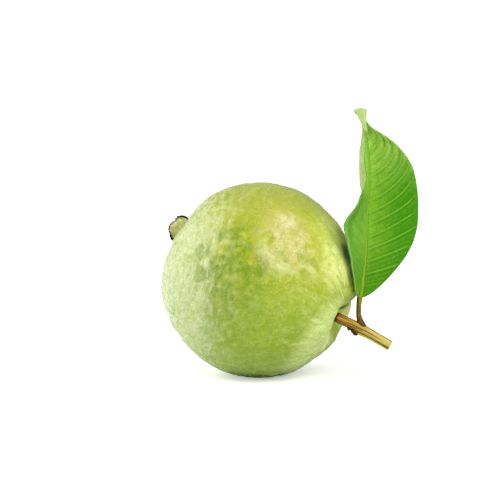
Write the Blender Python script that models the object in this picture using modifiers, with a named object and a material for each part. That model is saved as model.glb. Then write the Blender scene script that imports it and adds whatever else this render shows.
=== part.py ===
"""A whole guava lying on its side, as picked, with its twig and one leaf.

Metres, +Z up. The origin is the middle of the small flat spot that the fruit rests on.
+X is the twig's side and -Y is the front. The leaf stands up beside the fruit.
"""
import math

import bmesh
import bpy
from mathutils import Vector, noise

MM = 0.001
GAP = 0.3 * MM
MERGE = 0.01 * MM

# Fruit
FRUIT_RADIUS = 43.7 * MM
FRUIT_MERIDIANS = 60
FRUIT_RINGS = 40
RING_CROWDING = 0.17
SEAT_DEPTH = 0.7 * MM
STALK_RISE = -24.0
STALK_FORWARD = 15.5
CROWN_RISE = 148.0
CROWN_FORWARD = -12.0
STALK_END_FALL = 0.9 * MM
CROWN_END_FALL = 2.3 * MM
HOLLOW_DEPTH = 6.0 * MM
HOLLOW_FLOOR = 4.5
HOLLOW_RIM = 22.0
BASIN_DEPTH = 1.6 * MM
BASIN_FLOOR = 9.0
BASIN_RIM = 21.0
CROWN_RIB_HEIGHT = 0.45 * MM
SWELL_HEIGHT = 0.45 * MM
DIMPLE_HEIGHT = 0.2 * MM

# Ribs and one groove round the stalk hollow: turn from the top towards the back, width, height
STALK_RIBS = (
    (10.0, 26.0, 1.0 * MM),
    (56.0, 9.0, -1.0 * MM),
    (96.0, 22.0, 0.9 * MM),
    (152.0, 24.0, 1.0 * MM),
    (214.0, 20.0, 0.4 * MM),
    (262.0, 26.0, 0.6 * MM),
    (316.0, 24.0, 0.4 * MM),
)

# Shallow dents, and first a swelling over the hollow: rise and forward turn of the middle,
# reach in degrees, depth
DENTS = (
    (-8.8, 12.5, 17.0, -2.3 * MM),
    (10.0, 0.0, 26.0, 1.3 * MM),
    (28.0, 60.0, 9.0, 0.7 * MM),
    (-52.0, 8.0, 20.0, 1.1 * MM),
    (160.0, 55.0, 14.0, 0.5 * MM),
    (95.0, -50.0, 20.0, 0.6 * MM),
)

# Dried crown of five sepals
SEPALS = 5
CROWN_RADIUS = 6.2 * MM
CROWN_HEIGHT = 6.4 * MM
CROWN_WALL = 0.8 * MM
CROWN_FLOOR = 0.4
CROWN_FLOOR_WIDTH = 0.7
CROWN_SAG = 0.5 * MM
SEPAL_CUT = 0.20
CROWN_SIDES = 40
CROWN_RINGS = 8
CROWN_CURL = 1.6 * MM

# Dried stamens and style
STAMENS = 13
STAMEN_RING = 2.9 * MM
STAMEN_RADIUS = 0.42 * MM
STAMEN_LENGTH = 3.6 * MM
STAMEN_LEAN = 1.0 * MM
STYLE_RADIUS = 0.55 * MM
STYLE_LENGTH = 4.8 * MM
DISC_THICKNESS = 0.7 * MM

# Twig, from the stalk hollow to its cut end
TWIG_END = Vector((57.6, -16.9, 15.8)) * MM
TWIG_RADIUS = 2.05 * MM
TWIG_BOW = 0.45 * MM
TWIG_STATIONS = 13
NODE_AT = 0.49
NODE_SWELL = 0.14
NODE_REACH = 0.13
TWIG_RIDGE = 0.10
SCAR_AT = 0.42
SCAR_RADIUS = 1.5 * MM
STRIP_RADIUS = 0.75 * MM
STRIP_POINTS = 7

# Bumps of the leaf scar: shift along the twig, size against the scar's
SCAR_BUMPS = (
    (0.7 * MM, 1.0),
    (-2.5 * MM, 0.6),
    (2.0 * MM, 0.62),
)

# Petiole, from the twig's node to the blade
PETIOLE_ROUTE = (
    (46.4, -13.6, 22.0, 2.1),
    (45.5, -13.3, 24.0, 1.85),
    (44.75, -13.0, 25.9, 1.55),
    (44.2, -12.8, 27.6, 1.3),
    (44.0, -12.7, 29.6, 1.15),
    (44.0, -12.8, 32.3, 1.12),
    (44.15, -13.1, 34.8, 1.2),
    (44.35, -13.4, 36.5, 1.25),
)
PETIOLE_STEPS = 4

# Leaf blade: the midrib's route in millimetres, from the petiole to just under the crest
MIDRIB_ROUTE = (
    (44.4, -13.5, 36.8),
    (45.2, -13.4, 43.0),
    (46.4, -11.7, 52.8),
    (47.15, -10.0, 62.6),
    (47.7, -9.0, 73.0),
    (48.4, -8.2, 84.0),
    (48.4, -8.0, 94.0),
    (47.7, -8.4, 104.0),
    (46.0, -9.2, 112.5),
    (44.9, -9.9, 116.2),
    (44.45, -10.3, 118.2),
)
CREST_RADIUS = 1.9 * MM
CREST_TURN = 150.0
TIP_LENGTH = 9.5 * MM
TIP_ROWS = 18
BLADE_THICKNESS = 0.6 * MM
KEEL_THICKNESS = 1.8 * MM
SIDE_VEINS = 14
ROWS_PER_VEIN = 3
FIRST_VEIN = 4.6 * MM
LAST_VEIN = 80.5 * MM
VEIN_RISE = 17.0 * MM
PLEAT_HEIGHT = -0.45 * MM
RIGHT_COLUMNS = 9
LEFT_COLUMNS = 8

# Blade's half width (mm) at distances along the midrib (mm)
HALF_WIDTH = (
    (0.0, 1.3),
    (1.0, 3.1),
    (3.2, 5.6),
    (7.0, 9.2),
    (12.0, 13.0),
    (20.0, 18.4),
    (27.0, 21.3),
    (35.0, 22.5),
    (41.0, 22.3),
    (55.0, 20.0),
    (60.0, 17.9),
    (66.0, 13.2),
    (71.0, 7.9),
    (74.5, 4.4),
    (78.0, 2.6),
    (83.0, 2.7),
    (86.0, 2.8),
    (89.0, 2.1),
    (92.5, 1.3),
    (98.0, 0.4),
)

# Fold of the blade (degrees) at distances along the midrib (mm):
# the right half's turn, and the left half's turn at the midrib and at its margin
FOLD = (
    (0.0, 14.0, 54.0, 46.0),
    (6.0, 13.0, 69.0, 54.0),
    (13.0, 12.0, 70.0, 56.0),
    (22.0, 10.0, 70.0, 54.0),
    (31.0, 9.0, 68.5, 50.0),
    (34.0, 8.0, 71.0, 54.0),
    (36.5, 8.0, 76.0, 59.5),
    (39.0, 8.0, 80.0, 64.0),
    (42.0, 8.0, 82.0, 68.0),
    (44.5, 8.0, 79.0, 74.0),
    (47.0, 8.0, 65.0, 92.0),
    (50.0, 8.0, 50.0, 112.0),
    (55.0, 8.0, 42.0, 123.0),
    (61.0, 10.0, 40.0, 118.0),
    (66.0, 13.0, 31.0, 127.0),
    (72.0, 26.0, 30.0, 132.0),
    (76.0, 48.0, 44.0, 112.0),
    (80.5, 62.0, 58.0, 84.0),
    (83.5, 14.0, 14.0, 18.0),
    (87.0, 12.0, 12.0, 14.0),
    (98.0, 32.0, 32.0, 32.0),
)


def clear_scene():
    """Start from an empty scene."""
    for thing in list(bpy.data.objects):
        bpy.data.objects.remove(thing, do_unlink=True)


def new_collection(name):
    """A collection under the scene's own."""
    collection = bpy.data.collections.new(name)
    bpy.context.scene.collection.children.link(collection)
    return collection


def material(name, colour, roughness):
    """A Principled material of one colour."""
    finish = bpy.data.materials.new(name)
    finish.use_nodes = True
    shader = finish.node_tree.nodes["Principled BSDF"]
    shader.inputs["Base Color"].default_value = (*colour, 1.0)
    shader.inputs["Roughness"].default_value = roughness
    shader.inputs["Metallic"].default_value = 0.0
    return finish


def add_mesh(name, work, collection, finish=None):
    """An object from a bmesh, shaded smooth."""
    mesh = bpy.data.meshes.new(name)
    work.to_mesh(mesh)
    work.free()
    mesh.shade_smooth()
    thing = bpy.data.objects.new(name, mesh)
    collection.objects.link(thing)
    if finish:
        mesh.materials.append(finish)
    return thing


def add_tube(name, points, radii, depth, resolution, collection):
    """A curve with round section and filled caps through points, as a poly spline."""
    curve = bpy.data.curves.new(name, "CURVE")
    curve.dimensions = "3D"
    curve.bevel_depth = depth
    curve.bevel_resolution = resolution
    curve.use_fill_caps = True
    spline = curve.splines.new("POLY")
    spline.points.add(len(points) - 1)
    for knot, point, radius in zip(spline.points, points, radii):
        knot.co = (*point, 1.0)
        knot.radius = radius
    thing = bpy.data.objects.new(name, curve)
    collection.objects.link(thing)
    return thing


def tube_to_mesh(thing, collection, finish=None):
    """The curve object as a closed mesh object with the same name and place."""
    bpy.context.view_layer.update()
    evaluated = thing.evaluated_get(bpy.context.evaluated_depsgraph_get())
    mesh = bpy.data.meshes.new_from_object(evaluated)
    work = bmesh.new()
    work.from_mesh(mesh)
    bmesh.ops.remove_doubles(work, verts=work.verts, dist=MERGE)
    bmesh.ops.recalc_face_normals(work, faces=work.faces)
    name = thing.name
    place = thing.matrix_world.copy()
    bpy.data.objects.remove(thing, do_unlink=True)
    bpy.data.meshes.remove(mesh)
    solid = add_mesh(name, work, collection, finish)
    solid.matrix_world = place
    return solid


def as_guide(thing):
    """Mark a cutter or a guide, which is not part of the model."""
    thing.hide_render = True
    thing.display_type = "WIRE"


def boolean(target, other, operation):
    """Cut target by other, or join other to it."""
    step = target.modifiers.new(operation.title() + " " + other.name, "BOOLEAN")
    step.operation = operation
    step.solver = "EXACT"
    step.object = other
    as_guide(other)


def smooth(value, start, end):
    """0 at start and 1 at end, easing in and out."""
    share = min(max((value - start) / (end - start), 0.0), 1.0)
    return share * share * (3.0 - 2.0 * share)


def heading(rise, forward):
    """The unit direction that rises from +X in the XZ plane and turns forward to -Y."""
    up = math.radians(rise)
    turn = math.radians(forward)
    return Vector((math.cos(turn) * math.cos(up), -math.sin(turn), math.cos(turn) * math.sin(up)))


def along_table(table, place, column):
    """A column of the table at place, by a cubic through its rows that never overshoots."""
    last = len(table) - 1
    place = min(max(place, table[0][0]), table[last][0])
    row = max(i for i in range(last) if table[i][0] <= place)

    def slope(i):
        return (table[i + 1][column] - table[i][column]) / (table[i + 1][0] - table[i][0])

    def tangent(i):
        if i == 0:
            return slope(0)
        if i == last:
            return slope(last - 1)
        before, after = slope(i - 1), slope(i)
        return 0.0 if before * after <= 0.0 else 2.0 * before * after / (before + after)

    width = table[row + 1][0] - table[row][0]
    t = (place - table[row][0]) / width
    start, end = table[row][column], table[row + 1][column]
    return (
        start * (1.0 + 2.0 * t) * (1.0 - t) ** 2
        + end * t * t * (3.0 - 2.0 * t)
        + width * t * (1.0 - t) * (tangent(row) * (1.0 - t) - tangent(row + 1) * t)
    )


def smooth_route(knots, steps):
    """Points of a Catmull-Rom curve through the knots, with steps points for each stretch."""
    ends = [knots[0] * 2.0 - knots[1], *knots, knots[-1] * 2.0 - knots[-2]]
    route = []
    for a, b, c, d in zip(ends, ends[1:], ends[2:], ends[3:]):
        for step in range(steps):
            t = step / steps
            route.append(
                0.5 * ((2.0 * b) + (c - a) * t + (2.0 * a - 5.0 * b + 4.0 * c - d) * t * t
                       + (3.0 * b - 3.0 * c + d - a) * t ** 3)
            )
    route.append(knots[-1].copy())
    return route


STALK_POLE = heading(STALK_RISE, STALK_FORWARD)
CROWN_POLE = heading(CROWN_RISE, CROWN_FORWARD)
STALK_TOP = (Vector((0.0, 0.0, 1.0)) - STALK_POLE * STALK_POLE.z).normalized()
STALK_BACK = STALK_TOP.cross(STALK_POLE)


def stalk_rib(way):
    """The height of the ribs round the stalk hollow."""
    angle = math.degrees(way.angle(STALK_POLE))
    turn = math.degrees(math.atan2(way.dot(STALK_BACK), way.dot(STALK_TOP)))
    height = 0.0
    for middle, width, rise in STALK_RIBS:
        off = (turn - middle + 180.0) % 360.0 - 180.0
        height += rise * math.exp(-((off / width) ** 2))
    return height * smooth(angle, 4.0, 17.0) * (1.0 - smooth(angle, 22.0, 58.0))


def crown_rib(way):
    """The height of the uneven folds round the crown's basin."""
    angle = math.degrees(way.angle(CROWN_POLE))
    side = way - CROWN_POLE * way.dot(CROWN_POLE)
    if side.length < 1e-6:
        return 0.0
    wave = noise.noise(side.normalized() * 1.8 + CROWN_POLE * 3.0)
    return CROWN_RIB_HEIGHT * wave * smooth(angle, 5.0, 20.0) * (1.0 - smooth(angle, 24.0, 44.0))


def fruit_radius(way):
    """The distance from the fruit's centre to its skin in the unit direction way."""
    from_stalk = math.degrees(way.angle(STALK_POLE))
    from_crown = math.degrees(way.angle(CROWN_POLE))
    radius = FRUIT_RADIUS
    radius -= STALK_END_FALL * (1.0 - smooth(from_stalk, 0.0, 60.0))
    radius -= CROWN_END_FALL * (1.0 - smooth(from_crown, 0.0, 44.0))
    radius -= HOLLOW_DEPTH * (1.0 - smooth(from_stalk, HOLLOW_FLOOR, HOLLOW_RIM))
    radius -= BASIN_DEPTH * (1.0 - smooth(from_crown, BASIN_FLOOR, BASIN_RIM))
    radius += stalk_rib(way) + crown_rib(way)
    calm = smooth(from_stalk, 8.0, 30.0) * smooth(from_crown, 10.0, 26.0)
    radius += SWELL_HEIGHT * calm * noise.noise(way * 2.2 + Vector((4.1, 0.3, 2.7)))
    radius += DIMPLE_HEIGHT * calm * noise.noise(way * 5.5 + Vector((1.7, 8.2, 0.4)))
    for rise, forward, reach, depth in DENTS:
        angle = math.degrees(way.angle(heading(rise, forward)))
        radius -= depth * (1.0 - smooth(angle, 0.0, reach)) * smooth(from_stalk, 3.0, 9.0)
    return radius


DOWN = Vector((0.0, 0.0, -1.0))
FRUIT_CENTRE = Vector((0.0, 0.0, fruit_radius(DOWN) - SEAT_DEPTH))


def make_fruit(collection):
    """The berry: one solid with its stalk hollow, crown basin, soft ribs and rest spot."""
    turn = Vector((0.0, 0.0, 1.0)).rotation_difference(STALK_POLE)
    work = bmesh.new()
    bmesh.ops.create_uvsphere(work, u_segments=FRUIT_MERIDIANS, v_segments=FRUIT_RINGS, radius=1.0)
    for vertex in work.verts:
        side = Vector((vertex.co.x, vertex.co.y, 0.0))
        polar = Vector((0.0, 0.0, 1.0)).angle(vertex.co)
        polar -= RING_CROWDING * math.sin(2.0 * polar)
        way = Vector((0.0, 0.0, math.cos(polar)))
        if side.length > 1e-6:
            way += side.normalized() * math.sin(polar)
        way.rotate(turn)
        vertex.co = FRUIT_CENTRE + way * fruit_radius(way)
    everything = list(work.verts) + list(work.edges) + list(work.faces)
    floor = {"plane_co": (0.0, 0.0, 0.0), "plane_no": (0.0, 0.0, -1.0)}
    cut = bmesh.ops.bisect_plane(work, geom=everything, dist=MERGE, clear_outer=True, **floor)
    rim = [edge for edge in cut["geom_cut"] if isinstance(edge, bmesh.types.BMEdge)]
    bmesh.ops.edgeloop_fill(work, edges=rim)
    bmesh.ops.remove_doubles(work, verts=work.verts, dist=MERGE)
    bmesh.ops.recalc_face_normals(work, faces=work.faces)
    return add_mesh("fruit", work, collection, material("guava skin", (0.47, 0.60, 0.16), 0.42))


def seat(pole, depth):
    """The point on the pole's axis that is depth above the fruit's skin."""
    return FRUIT_CENTRE + pole * (fruit_radius(pole) + depth)


def make_calyx(collection):
    """The dried crown: a shallow cup with five sepals that curl at their tips."""
    work = bmesh.new()
    bmesh.ops.create_uvsphere(work, u_segments=CROWN_SIDES, v_segments=2 * CROWN_RINGS, radius=1.0)
    upper = [vertex for vertex in work.verts if vertex.co.z > 1e-4]
    bmesh.ops.delete(work, geom=upper, context="VERTS")
    for vertex in work.verts:
        angle = math.atan2(vertex.co.y, vertex.co.x)
        share = 1.0 - math.degrees(math.asin(max(vertex.co.z, -1.0) * -1.0)) / 90.0
        sepal = abs(math.sin(0.5 * SEPALS * angle)) ** 0.7
        uneven = noise.noise(Vector((math.cos(angle) * 1.4, math.sin(angle) * 1.4, 5.0)))
        reach = share * (1.0 - SEPAL_CUT + SEPAL_CUT * sepal + 0.16 * uneven)
        floor = min(reach / CROWN_FLOOR, 1.0)
        wall = max(reach - CROWN_FLOOR, 0.0) / (1.0 - CROWN_FLOOR)
        curl = CROWN_CURL * wall ** 3 * (0.5 + 2.0 * uneven)
        spread = (1.0 - CROWN_FLOOR_WIDTH) * math.sin(0.5 * math.pi * min(wall, 1.0))
        radius = CROWN_RADIUS * (CROWN_FLOOR_WIDTH * floor + spread) - curl
        height = CROWN_HEIGHT * wall - CROWN_SAG * (1.0 - floor)
        vertex.co = (radius * math.cos(angle), radius * math.sin(angle), height)
    bmesh.ops.recalc_face_normals(work, faces=work.faces)
    bmesh.ops.triangulate(work, faces=work.faces)
    crown = add_mesh("calyx", work, collection, material("dried sepal", (0.22, 0.20, 0.07), 0.8))
    wall = crown.modifiers.new("Wall", "SOLIDIFY")
    wall.thickness = CROWN_WALL
    wall.offset = 0.0
    crown.location = seat(CROWN_POLE, GAP + 0.5 * CROWN_WALL + CROWN_SAG)
    crown.rotation_mode = "QUATERNION"
    crown.rotation_quaternion = Vector((0.0, 0.0, 1.0)).rotation_difference(CROWN_POLE)
    return crown


def make_stamens(collection, guides, crown):
    """The dried stamen stubs and the style, on the disc that they grew from."""
    work = bmesh.new()
    bmesh.ops.create_cone(
        work, cap_ends=True, segments=24, radius1=STAMEN_RING + STAMEN_RADIUS,
        radius2=STAMEN_RING + 0.5 * STAMEN_RADIUS, depth=DISC_THICKNESS,
    )
    disc = add_mesh("stamens", work, collection, material("dried stamen", (0.07, 0.05, 0.03), 0.85))
    stubs = bpy.data.collections.new("stamen stubs")
    guides.children.link(stubs)
    for number in range(STAMENS + 1):
        angle = 2.0 * math.pi * number / STAMENS
        lean = noise.noise(Vector((number * 1.7, 3.1, 0.0)))
        twist = noise.noise(Vector((number * 1.3, 0.0, 7.7)))
        style = number == STAMENS
        ring = 0.0 if style else STAMEN_RING * (0.86 + 0.06 * lean)
        length = STYLE_LENGTH if style else STAMEN_LENGTH * (0.8 + 0.5 * twist)
        thick = STYLE_RADIUS if style else STAMEN_RADIUS
        outward = Vector((math.cos(angle), math.sin(angle), 0.0))
        sideways = Vector((-math.sin(angle), math.cos(angle), 0.0))
        rise = Vector((0.0, 0.0, 0.5 * length))
        root = outward * ring
        middle = root + rise + outward * (0.4 * lean * STAMEN_LEAN)
        tip = middle + rise + (sideways * twist - outward * (0.8 + lean)) * STAMEN_LEAN
        stub = add_tube(f"stub_{number}", (root, middle, tip), (1.0, 0.9, 0.8), thick, 1, stubs)
        tube_to_mesh(stub, stubs)
    union = disc.modifiers.new("Union stubs", "BOOLEAN")
    union.operation = "UNION"
    union.solver = "EXACT"
    union.operand_type = "COLLECTION"
    union.collection = stubs
    bpy.context.view_layer.update()
    evaluated = disc.evaluated_get(bpy.context.evaluated_depsgraph_get())
    joined = bpy.data.meshes.new_from_object(evaluated)
    disc.modifiers.remove(union)
    disc.data = joined
    for stub in list(stubs.objects):
        bpy.data.objects.remove(stub, do_unlink=True)
    bpy.data.collections.remove(stubs)
    disc.parent = crown
    disc.location = (0.0, 0.0, 0.5 * CROWN_WALL + GAP + 0.5 * DISC_THICKNESS)
    return disc


def twig_route():
    """Points along the twig, a little bowed, and the swelling at each."""
    start = seat(STALK_POLE, GAP)
    bow = Vector((0.0, 0.0, 1.0)) * TWIG_BOW
    route = []
    swell = []
    for station in range(TWIG_STATIONS):
        share = station / (TWIG_STATIONS - 1)
        route.append(start.lerp(TWIG_END, share) + bow * math.sin(math.pi * share))
        swell.append(1.0 + NODE_SWELL * math.exp(-((share - NODE_AT) / NODE_REACH) ** 2))
    return route, swell


def add_square_tube(name, route, swell, radius, guides):
    """A tube along the twig's route with four soft angles."""
    corners = 16
    profile = bpy.data.curves.new(name + " section", "CURVE")
    profile.dimensions = "2D"
    loop = profile.splines.new("POLY")
    loop.points.add(corners - 1)
    loop.use_cyclic_u = True
    for corner, knot in enumerate(loop.points):
        angle = 2.0 * math.pi * corner / corners
        reach = radius * (1.0 + TWIG_RIDGE * abs(math.cos(2.0 * angle)) ** 4)
        knot.co = (reach * math.cos(angle), reach * math.sin(angle), 0.0, 1.0)
    section = bpy.data.objects.new(name + " section", profile)
    guides.objects.link(section)
    as_guide(section)
    tube = add_tube(name, route, swell, 0.0, 0, guides)
    tube.data.bevel_mode = "OBJECT"
    tube.data.bevel_object = section
    tube.data.twist_mode = "Z_UP"
    solid = tube_to_mesh(tube, guides)
    bpy.data.objects.remove(section, do_unlink=True)
    return solid


def make_twig(collection, guides):
    """The cut twig with its swollen node, and the scar and ridge of the leaf that fell."""
    route, swell = twig_route()
    twig = add_square_tube("twig", route, swell, TWIG_RADIUS, guides)
    guides.objects.unlink(twig)
    collection.objects.link(twig)
    twig.data.materials.append(material("twig bark", (0.42, 0.25, 0.07), 0.6))
    along = (TWIG_END - route[0]).normalized()
    side = along.cross(Vector((0.0, -1.0, 0.0))).normalized()
    under = -side if side.z > 0.0 else side
    front = along.cross(under)
    front = -front if front.y > 0.0 else front
    foot = route[0].lerp(TWIG_END, SCAR_AT) + (under * 1.02 + front * 0.16) * TWIG_RADIUS
    for number, (shift, size) in enumerate(SCAR_BUMPS):
        bump = bmesh.new()
        bmesh.ops.create_icosphere(bump, subdivisions=2, radius=SCAR_RADIUS * size)
        scar = add_mesh(f"scar_{number}", bump, guides)
        scar.location = foot + along * shift
        boolean(twig, scar, "UNION")
    knots = []
    radii = []
    for step in range(STRIP_POINTS):
        share = step / (STRIP_POINTS - 1)
        place = route[0].lerp(TWIG_END, SCAR_AT + 0.05 + (0.94 - SCAR_AT) * share)
        knots.append(place + (under * 0.88 + front * 0.36) * TWIG_RADIUS)
        radii.append(0.85 + 0.4 * (1.0 - share) ** 2)
    strip = tube_to_mesh(add_tube("strip", knots, radii, STRIP_RADIUS, 1, guides), guides)
    boolean(twig, strip, "UNION")
    return twig


def make_petiole(collection, guides):
    """The leaf's stalk, flared where it leaves the twig's node."""
    knots = [Vector(row[:3]) * MM for row in PETIOLE_ROUTE]
    sizes = [Vector((row[3], 0.0, 0.0)) for row in PETIOLE_ROUTE]
    route = smooth_route(knots, PETIOLE_STEPS)
    radii = [size.x for size in smooth_route(sizes, PETIOLE_STEPS)]
    tube = add_tube("petiole", route, radii, MM, 3, collection)
    petiole = tube_to_mesh(tube, collection, material("petiole skin", (0.33, 0.30, 0.07), 0.5))
    twig_path, swell = twig_route()
    room = [size + GAP / TWIG_RADIUS for size in swell]
    cutter = add_square_tube("twig room", twig_path, room, TWIG_RADIUS, guides)
    boolean(petiole, cutter, "DIFFERENCE")
    return petiole


def midrib_route():
    """The midrib: up from the petiole, over the crest and down the folded tip."""
    route = smooth_route([Vector(point) * MM for point in MIDRIB_ROUTE], 8)
    up = (route[-1] - route[-2]).normalized()
    front = Vector((0.0, -1.0, 0.0))
    front = (front - up * front.dot(up)).normalized()
    top = route[-1]
    steps = 14
    for step in range(1, steps + 1):
        angle = math.radians(CREST_TURN * step / steps)
        route.append(top + (up * math.sin(angle) + front * (1.0 - math.cos(angle))) * CREST_RADIUS)
    end = math.radians(CREST_TURN)
    down = up * math.cos(end) + front * math.sin(end)
    last = route[-1].copy()
    for step in range(1, steps + 1):
        route.append(last + down * (TIP_LENGTH * step / steps))
    return route


def walk_route(route):
    """A function that gives the point and the direction at a distance along the route."""
    reach = [0.0]
    for before, after in zip(route, route[1:]):
        reach.append(reach[-1] + (after - before).length)

    def at(distance):
        distance = min(max(distance, 0.0), reach[-1])
        step = max(i for i in range(len(route) - 1) if reach[i] <= distance)
        share = (distance - reach[step]) / (reach[step + 1] - reach[step])
        point = route[step].lerp(route[step + 1], share)
        before = route[max(step - 1, 0)]
        after = route[min(step + 2, len(route) - 1)]
        here = (route[step + 1] - before).normalized()
        there = (after - route[step]).normalized()
        return point, here.lerp(there, share).normalized()

    return at, reach[-1]


def blade_rows():
    """The rows' starts on the midrib, closer together round the crest."""
    spacing = (LAST_VEIN - FIRST_VEIN) / SIDE_VEINS
    rows = [FIRST_VEIN * step / 3 for step in range(3)]
    rows += [
        FIRST_VEIN + spacing * (vein + part / ROWS_PER_VEIN)
        for vein in range(SIDE_VEINS)
        for part in range(ROWS_PER_VEIN)
    ]
    return rows


def blade_point(at, start, share, left):
    """A point of the blade's upper face: share runs from the midrib to the margin."""
    vein_span = LAST_VEIN + 3.0 * MM
    rise = VEIN_RISE * math.sin(math.pi * min(start / vein_span, 1.0)) * (0.6 * share + 0.4 * share ** 2)
    distance = start + rise
    middle, along = at(distance)
    across = Vector((1.0, 0.0, 0.0))
    across = (across - along * across.dot(along)).normalized()
    face = across.cross(along)
    place = distance / MM
    width = along_table(HALF_WIDTH, place, 1) * MM
    out = Vector((0.0, 0.0, 0.0))
    if left:
        first = along_table(FOLD, place, 2)
        last = along_table(FOLD, place, 3)
        steps = 24
        for step in range(steps):
            turn = math.radians(first + (last - first) * share * (step + 0.5) / steps)
            out += (face * math.sin(turn) - across * math.cos(turn)) * (width * share / steps)
        turn = math.radians(first + (last - first) * share)
        normal = across * math.sin(turn) + face * math.cos(turn)
    else:
        turn = math.radians(along_table(FOLD, place, 1))
        out = (across * math.cos(turn) + face * math.sin(turn)) * (width * share)
        normal = face * math.cos(turn) - across * math.sin(turn)
    spacing = (LAST_VEIN - FIRST_VEIN) / SIDE_VEINS
    phase = (start - FIRST_VEIN) / spacing
    pleat = math.sin(math.pi * phase) ** 2 if 0.0 < phase < SIDE_VEINS else 0.0
    room = min(width / (8.0 * MM), 1.0)
    height = PLEAT_HEIGHT * pleat * room * smooth(share, 0.0, 0.2) * (1.0 - 0.45 * smooth(share, 0.8, 1.0))
    return middle + out + normal * height


def make_blade(collection):
    """The leaf: folded along the midrib, pleated between its side veins, its tip turned over."""
    at, length = walk_route(midrib_route())
    rows = blade_rows()
    rows += [LAST_VEIN + (length - LAST_VEIN) * step / TIP_ROWS for step in range(TIP_ROWS + 1)]
    columns = LEFT_COLUMNS + RIGHT_COLUMNS
    work = bmesh.new()
    bmesh.ops.create_grid(work, x_segments=columns, y_segments=len(rows) - 1, size=1.0)
    grid = sorted(work.verts, key=lambda vertex: (round(vertex.co.y, 5), round(vertex.co.x, 5)))
    keel = {}
    for number, vertex in enumerate(grid):
        row, column = divmod(number, columns + 1)
        left = column < LEFT_COLUMNS
        count = LEFT_COLUMNS if left else RIGHT_COLUMNS
        share = abs(column - LEFT_COLUMNS) / count
        vertex.co = blade_point(at, rows[row], share, left)
        taper = 1.0 - 0.62 * smooth(rows[row] / length, 0.0, 0.85)
        keel[vertex.index] = taper if column == LEFT_COLUMNS else 0.0
    bmesh.ops.triangulate(work, faces=work.faces)
    bmesh.ops.recalc_face_normals(work, faces=work.faces)
    upper = sum(face.normal.y for face in work.faces)
    if upper > 0.0:
        bmesh.ops.reverse_faces(work, faces=work.faces)
    work.verts.ensure_lookup_table()
    blade = add_mesh("leaf_blade", work, collection, material("leaf", (0.13, 0.36, 0.04), 0.5))
    group = blade.vertex_groups.new(name="keel")
    least = BLADE_THICKNESS / KEEL_THICKNESS
    for index, weight in keel.items():
        group.add([index], max(weight, least), "REPLACE")
    body = blade.modifiers.new("Thickness", "SOLIDIFY")
    body.thickness = KEEL_THICKNESS
    body.offset = -1.0
    body.vertex_group = group.name
    return blade


clear_scene()
guava = new_collection("guava")
guides = new_collection("guava guides")
make_fruit(guava)
calyx = make_calyx(guava)
make_stamens(guava, guides, calyx)
make_twig(guava, guides)
make_petiole(guava, guides)
make_blade(guava)
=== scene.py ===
"""The looks of a whole guava that lies on its side, with its dried crown, a cut twig and one leaf."""

import bisect
import math

import bmesh
import bpy
from mathutils import Euler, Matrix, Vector, noise


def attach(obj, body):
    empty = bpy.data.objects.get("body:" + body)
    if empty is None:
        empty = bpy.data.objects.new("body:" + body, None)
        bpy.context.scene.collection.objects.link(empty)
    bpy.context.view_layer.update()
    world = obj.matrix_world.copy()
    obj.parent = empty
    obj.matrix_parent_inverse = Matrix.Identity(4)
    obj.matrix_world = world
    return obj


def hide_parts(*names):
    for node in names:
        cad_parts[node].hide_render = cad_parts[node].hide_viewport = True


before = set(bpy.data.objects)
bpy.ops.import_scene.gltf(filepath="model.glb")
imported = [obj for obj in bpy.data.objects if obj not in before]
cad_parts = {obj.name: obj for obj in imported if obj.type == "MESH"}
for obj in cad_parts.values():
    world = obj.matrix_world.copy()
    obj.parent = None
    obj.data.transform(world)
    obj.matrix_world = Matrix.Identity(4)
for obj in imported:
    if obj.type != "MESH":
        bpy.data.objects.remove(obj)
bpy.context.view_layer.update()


# Fruit
# The berry itself: thin waxy skin over firm flesh, grown as one piece round its core.
# It is one turned form from the stalk hollow to the crown's basin, with ribs, swells and dents.
MM = 0.001
FRUIT_RADIUS = 43.7 * MM
FRUIT_MERIDIANS = 320
FRUIT_RINGS = 220
RING_CROWDING = 0.17
SEAT_DEPTH = 0.7 * MM
STALK_RISE = -24
STALK_FORWARD = 15.5
CROWN_RISE = 148
CROWN_FORWARD = -12
WRINKLE_RISE = 170
WRINKLE_FORWARD = 4
STALK_END_FALL = 0.9 * MM
CROWN_END_FALL = 2.3 * MM
HOLLOW_DEPTH = 6 * MM
HOLLOW_FLOOR = 4.5
HOLLOW_RIM = 22
BASIN_DEPTH = 1.6 * MM
BASIN_FLOOR = 9
BASIN_RIM = 21
CROWN_RIB_HEIGHT = 0.45 * MM
SWELL_HEIGHT = 0.45 * MM
DIMPLE_HEIGHT = 0.2 * MM
WRINKLE_HEIGHT = 0.44 * MM
WRINKLE_SPACING = 5.8
CRINKLE_SHARE = 0.55
PUCKER_HEIGHT = 0.16 * MM
PIMPLE_HEIGHT = 0.035 * MM
RADIAL_FOLD_HEIGHT = 0.24 * MM
CREASE_TURN = 60
CREASE_WIDTH = 1.9

# Ribs and one groove round the stalk hollow: turn from the top towards the back, width, height (mm)
STALK_RIBS = (
    (10, 26, 1),
    (56, 9, -1),
    (96, 22, 0.9),
    (152, 24, 1),
    (214, 20, 0.4),
    (262, 26, 0.6),
    (316, 24, 0.4),
)

# Shallow dents: rise and forward turn of the middle, reach in degrees, depth (mm); one is a swelling
DENTS = (
    (-8.8, 12.5, 17, -2.3),
    (10, 0, 26, 1.3),
    (28, 60, 9, 0.7),
    (-52, 8, 20, 1.1),
    (160, 55, 14, 0.5),
    (95, -50, 20, 0.6),
)

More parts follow.
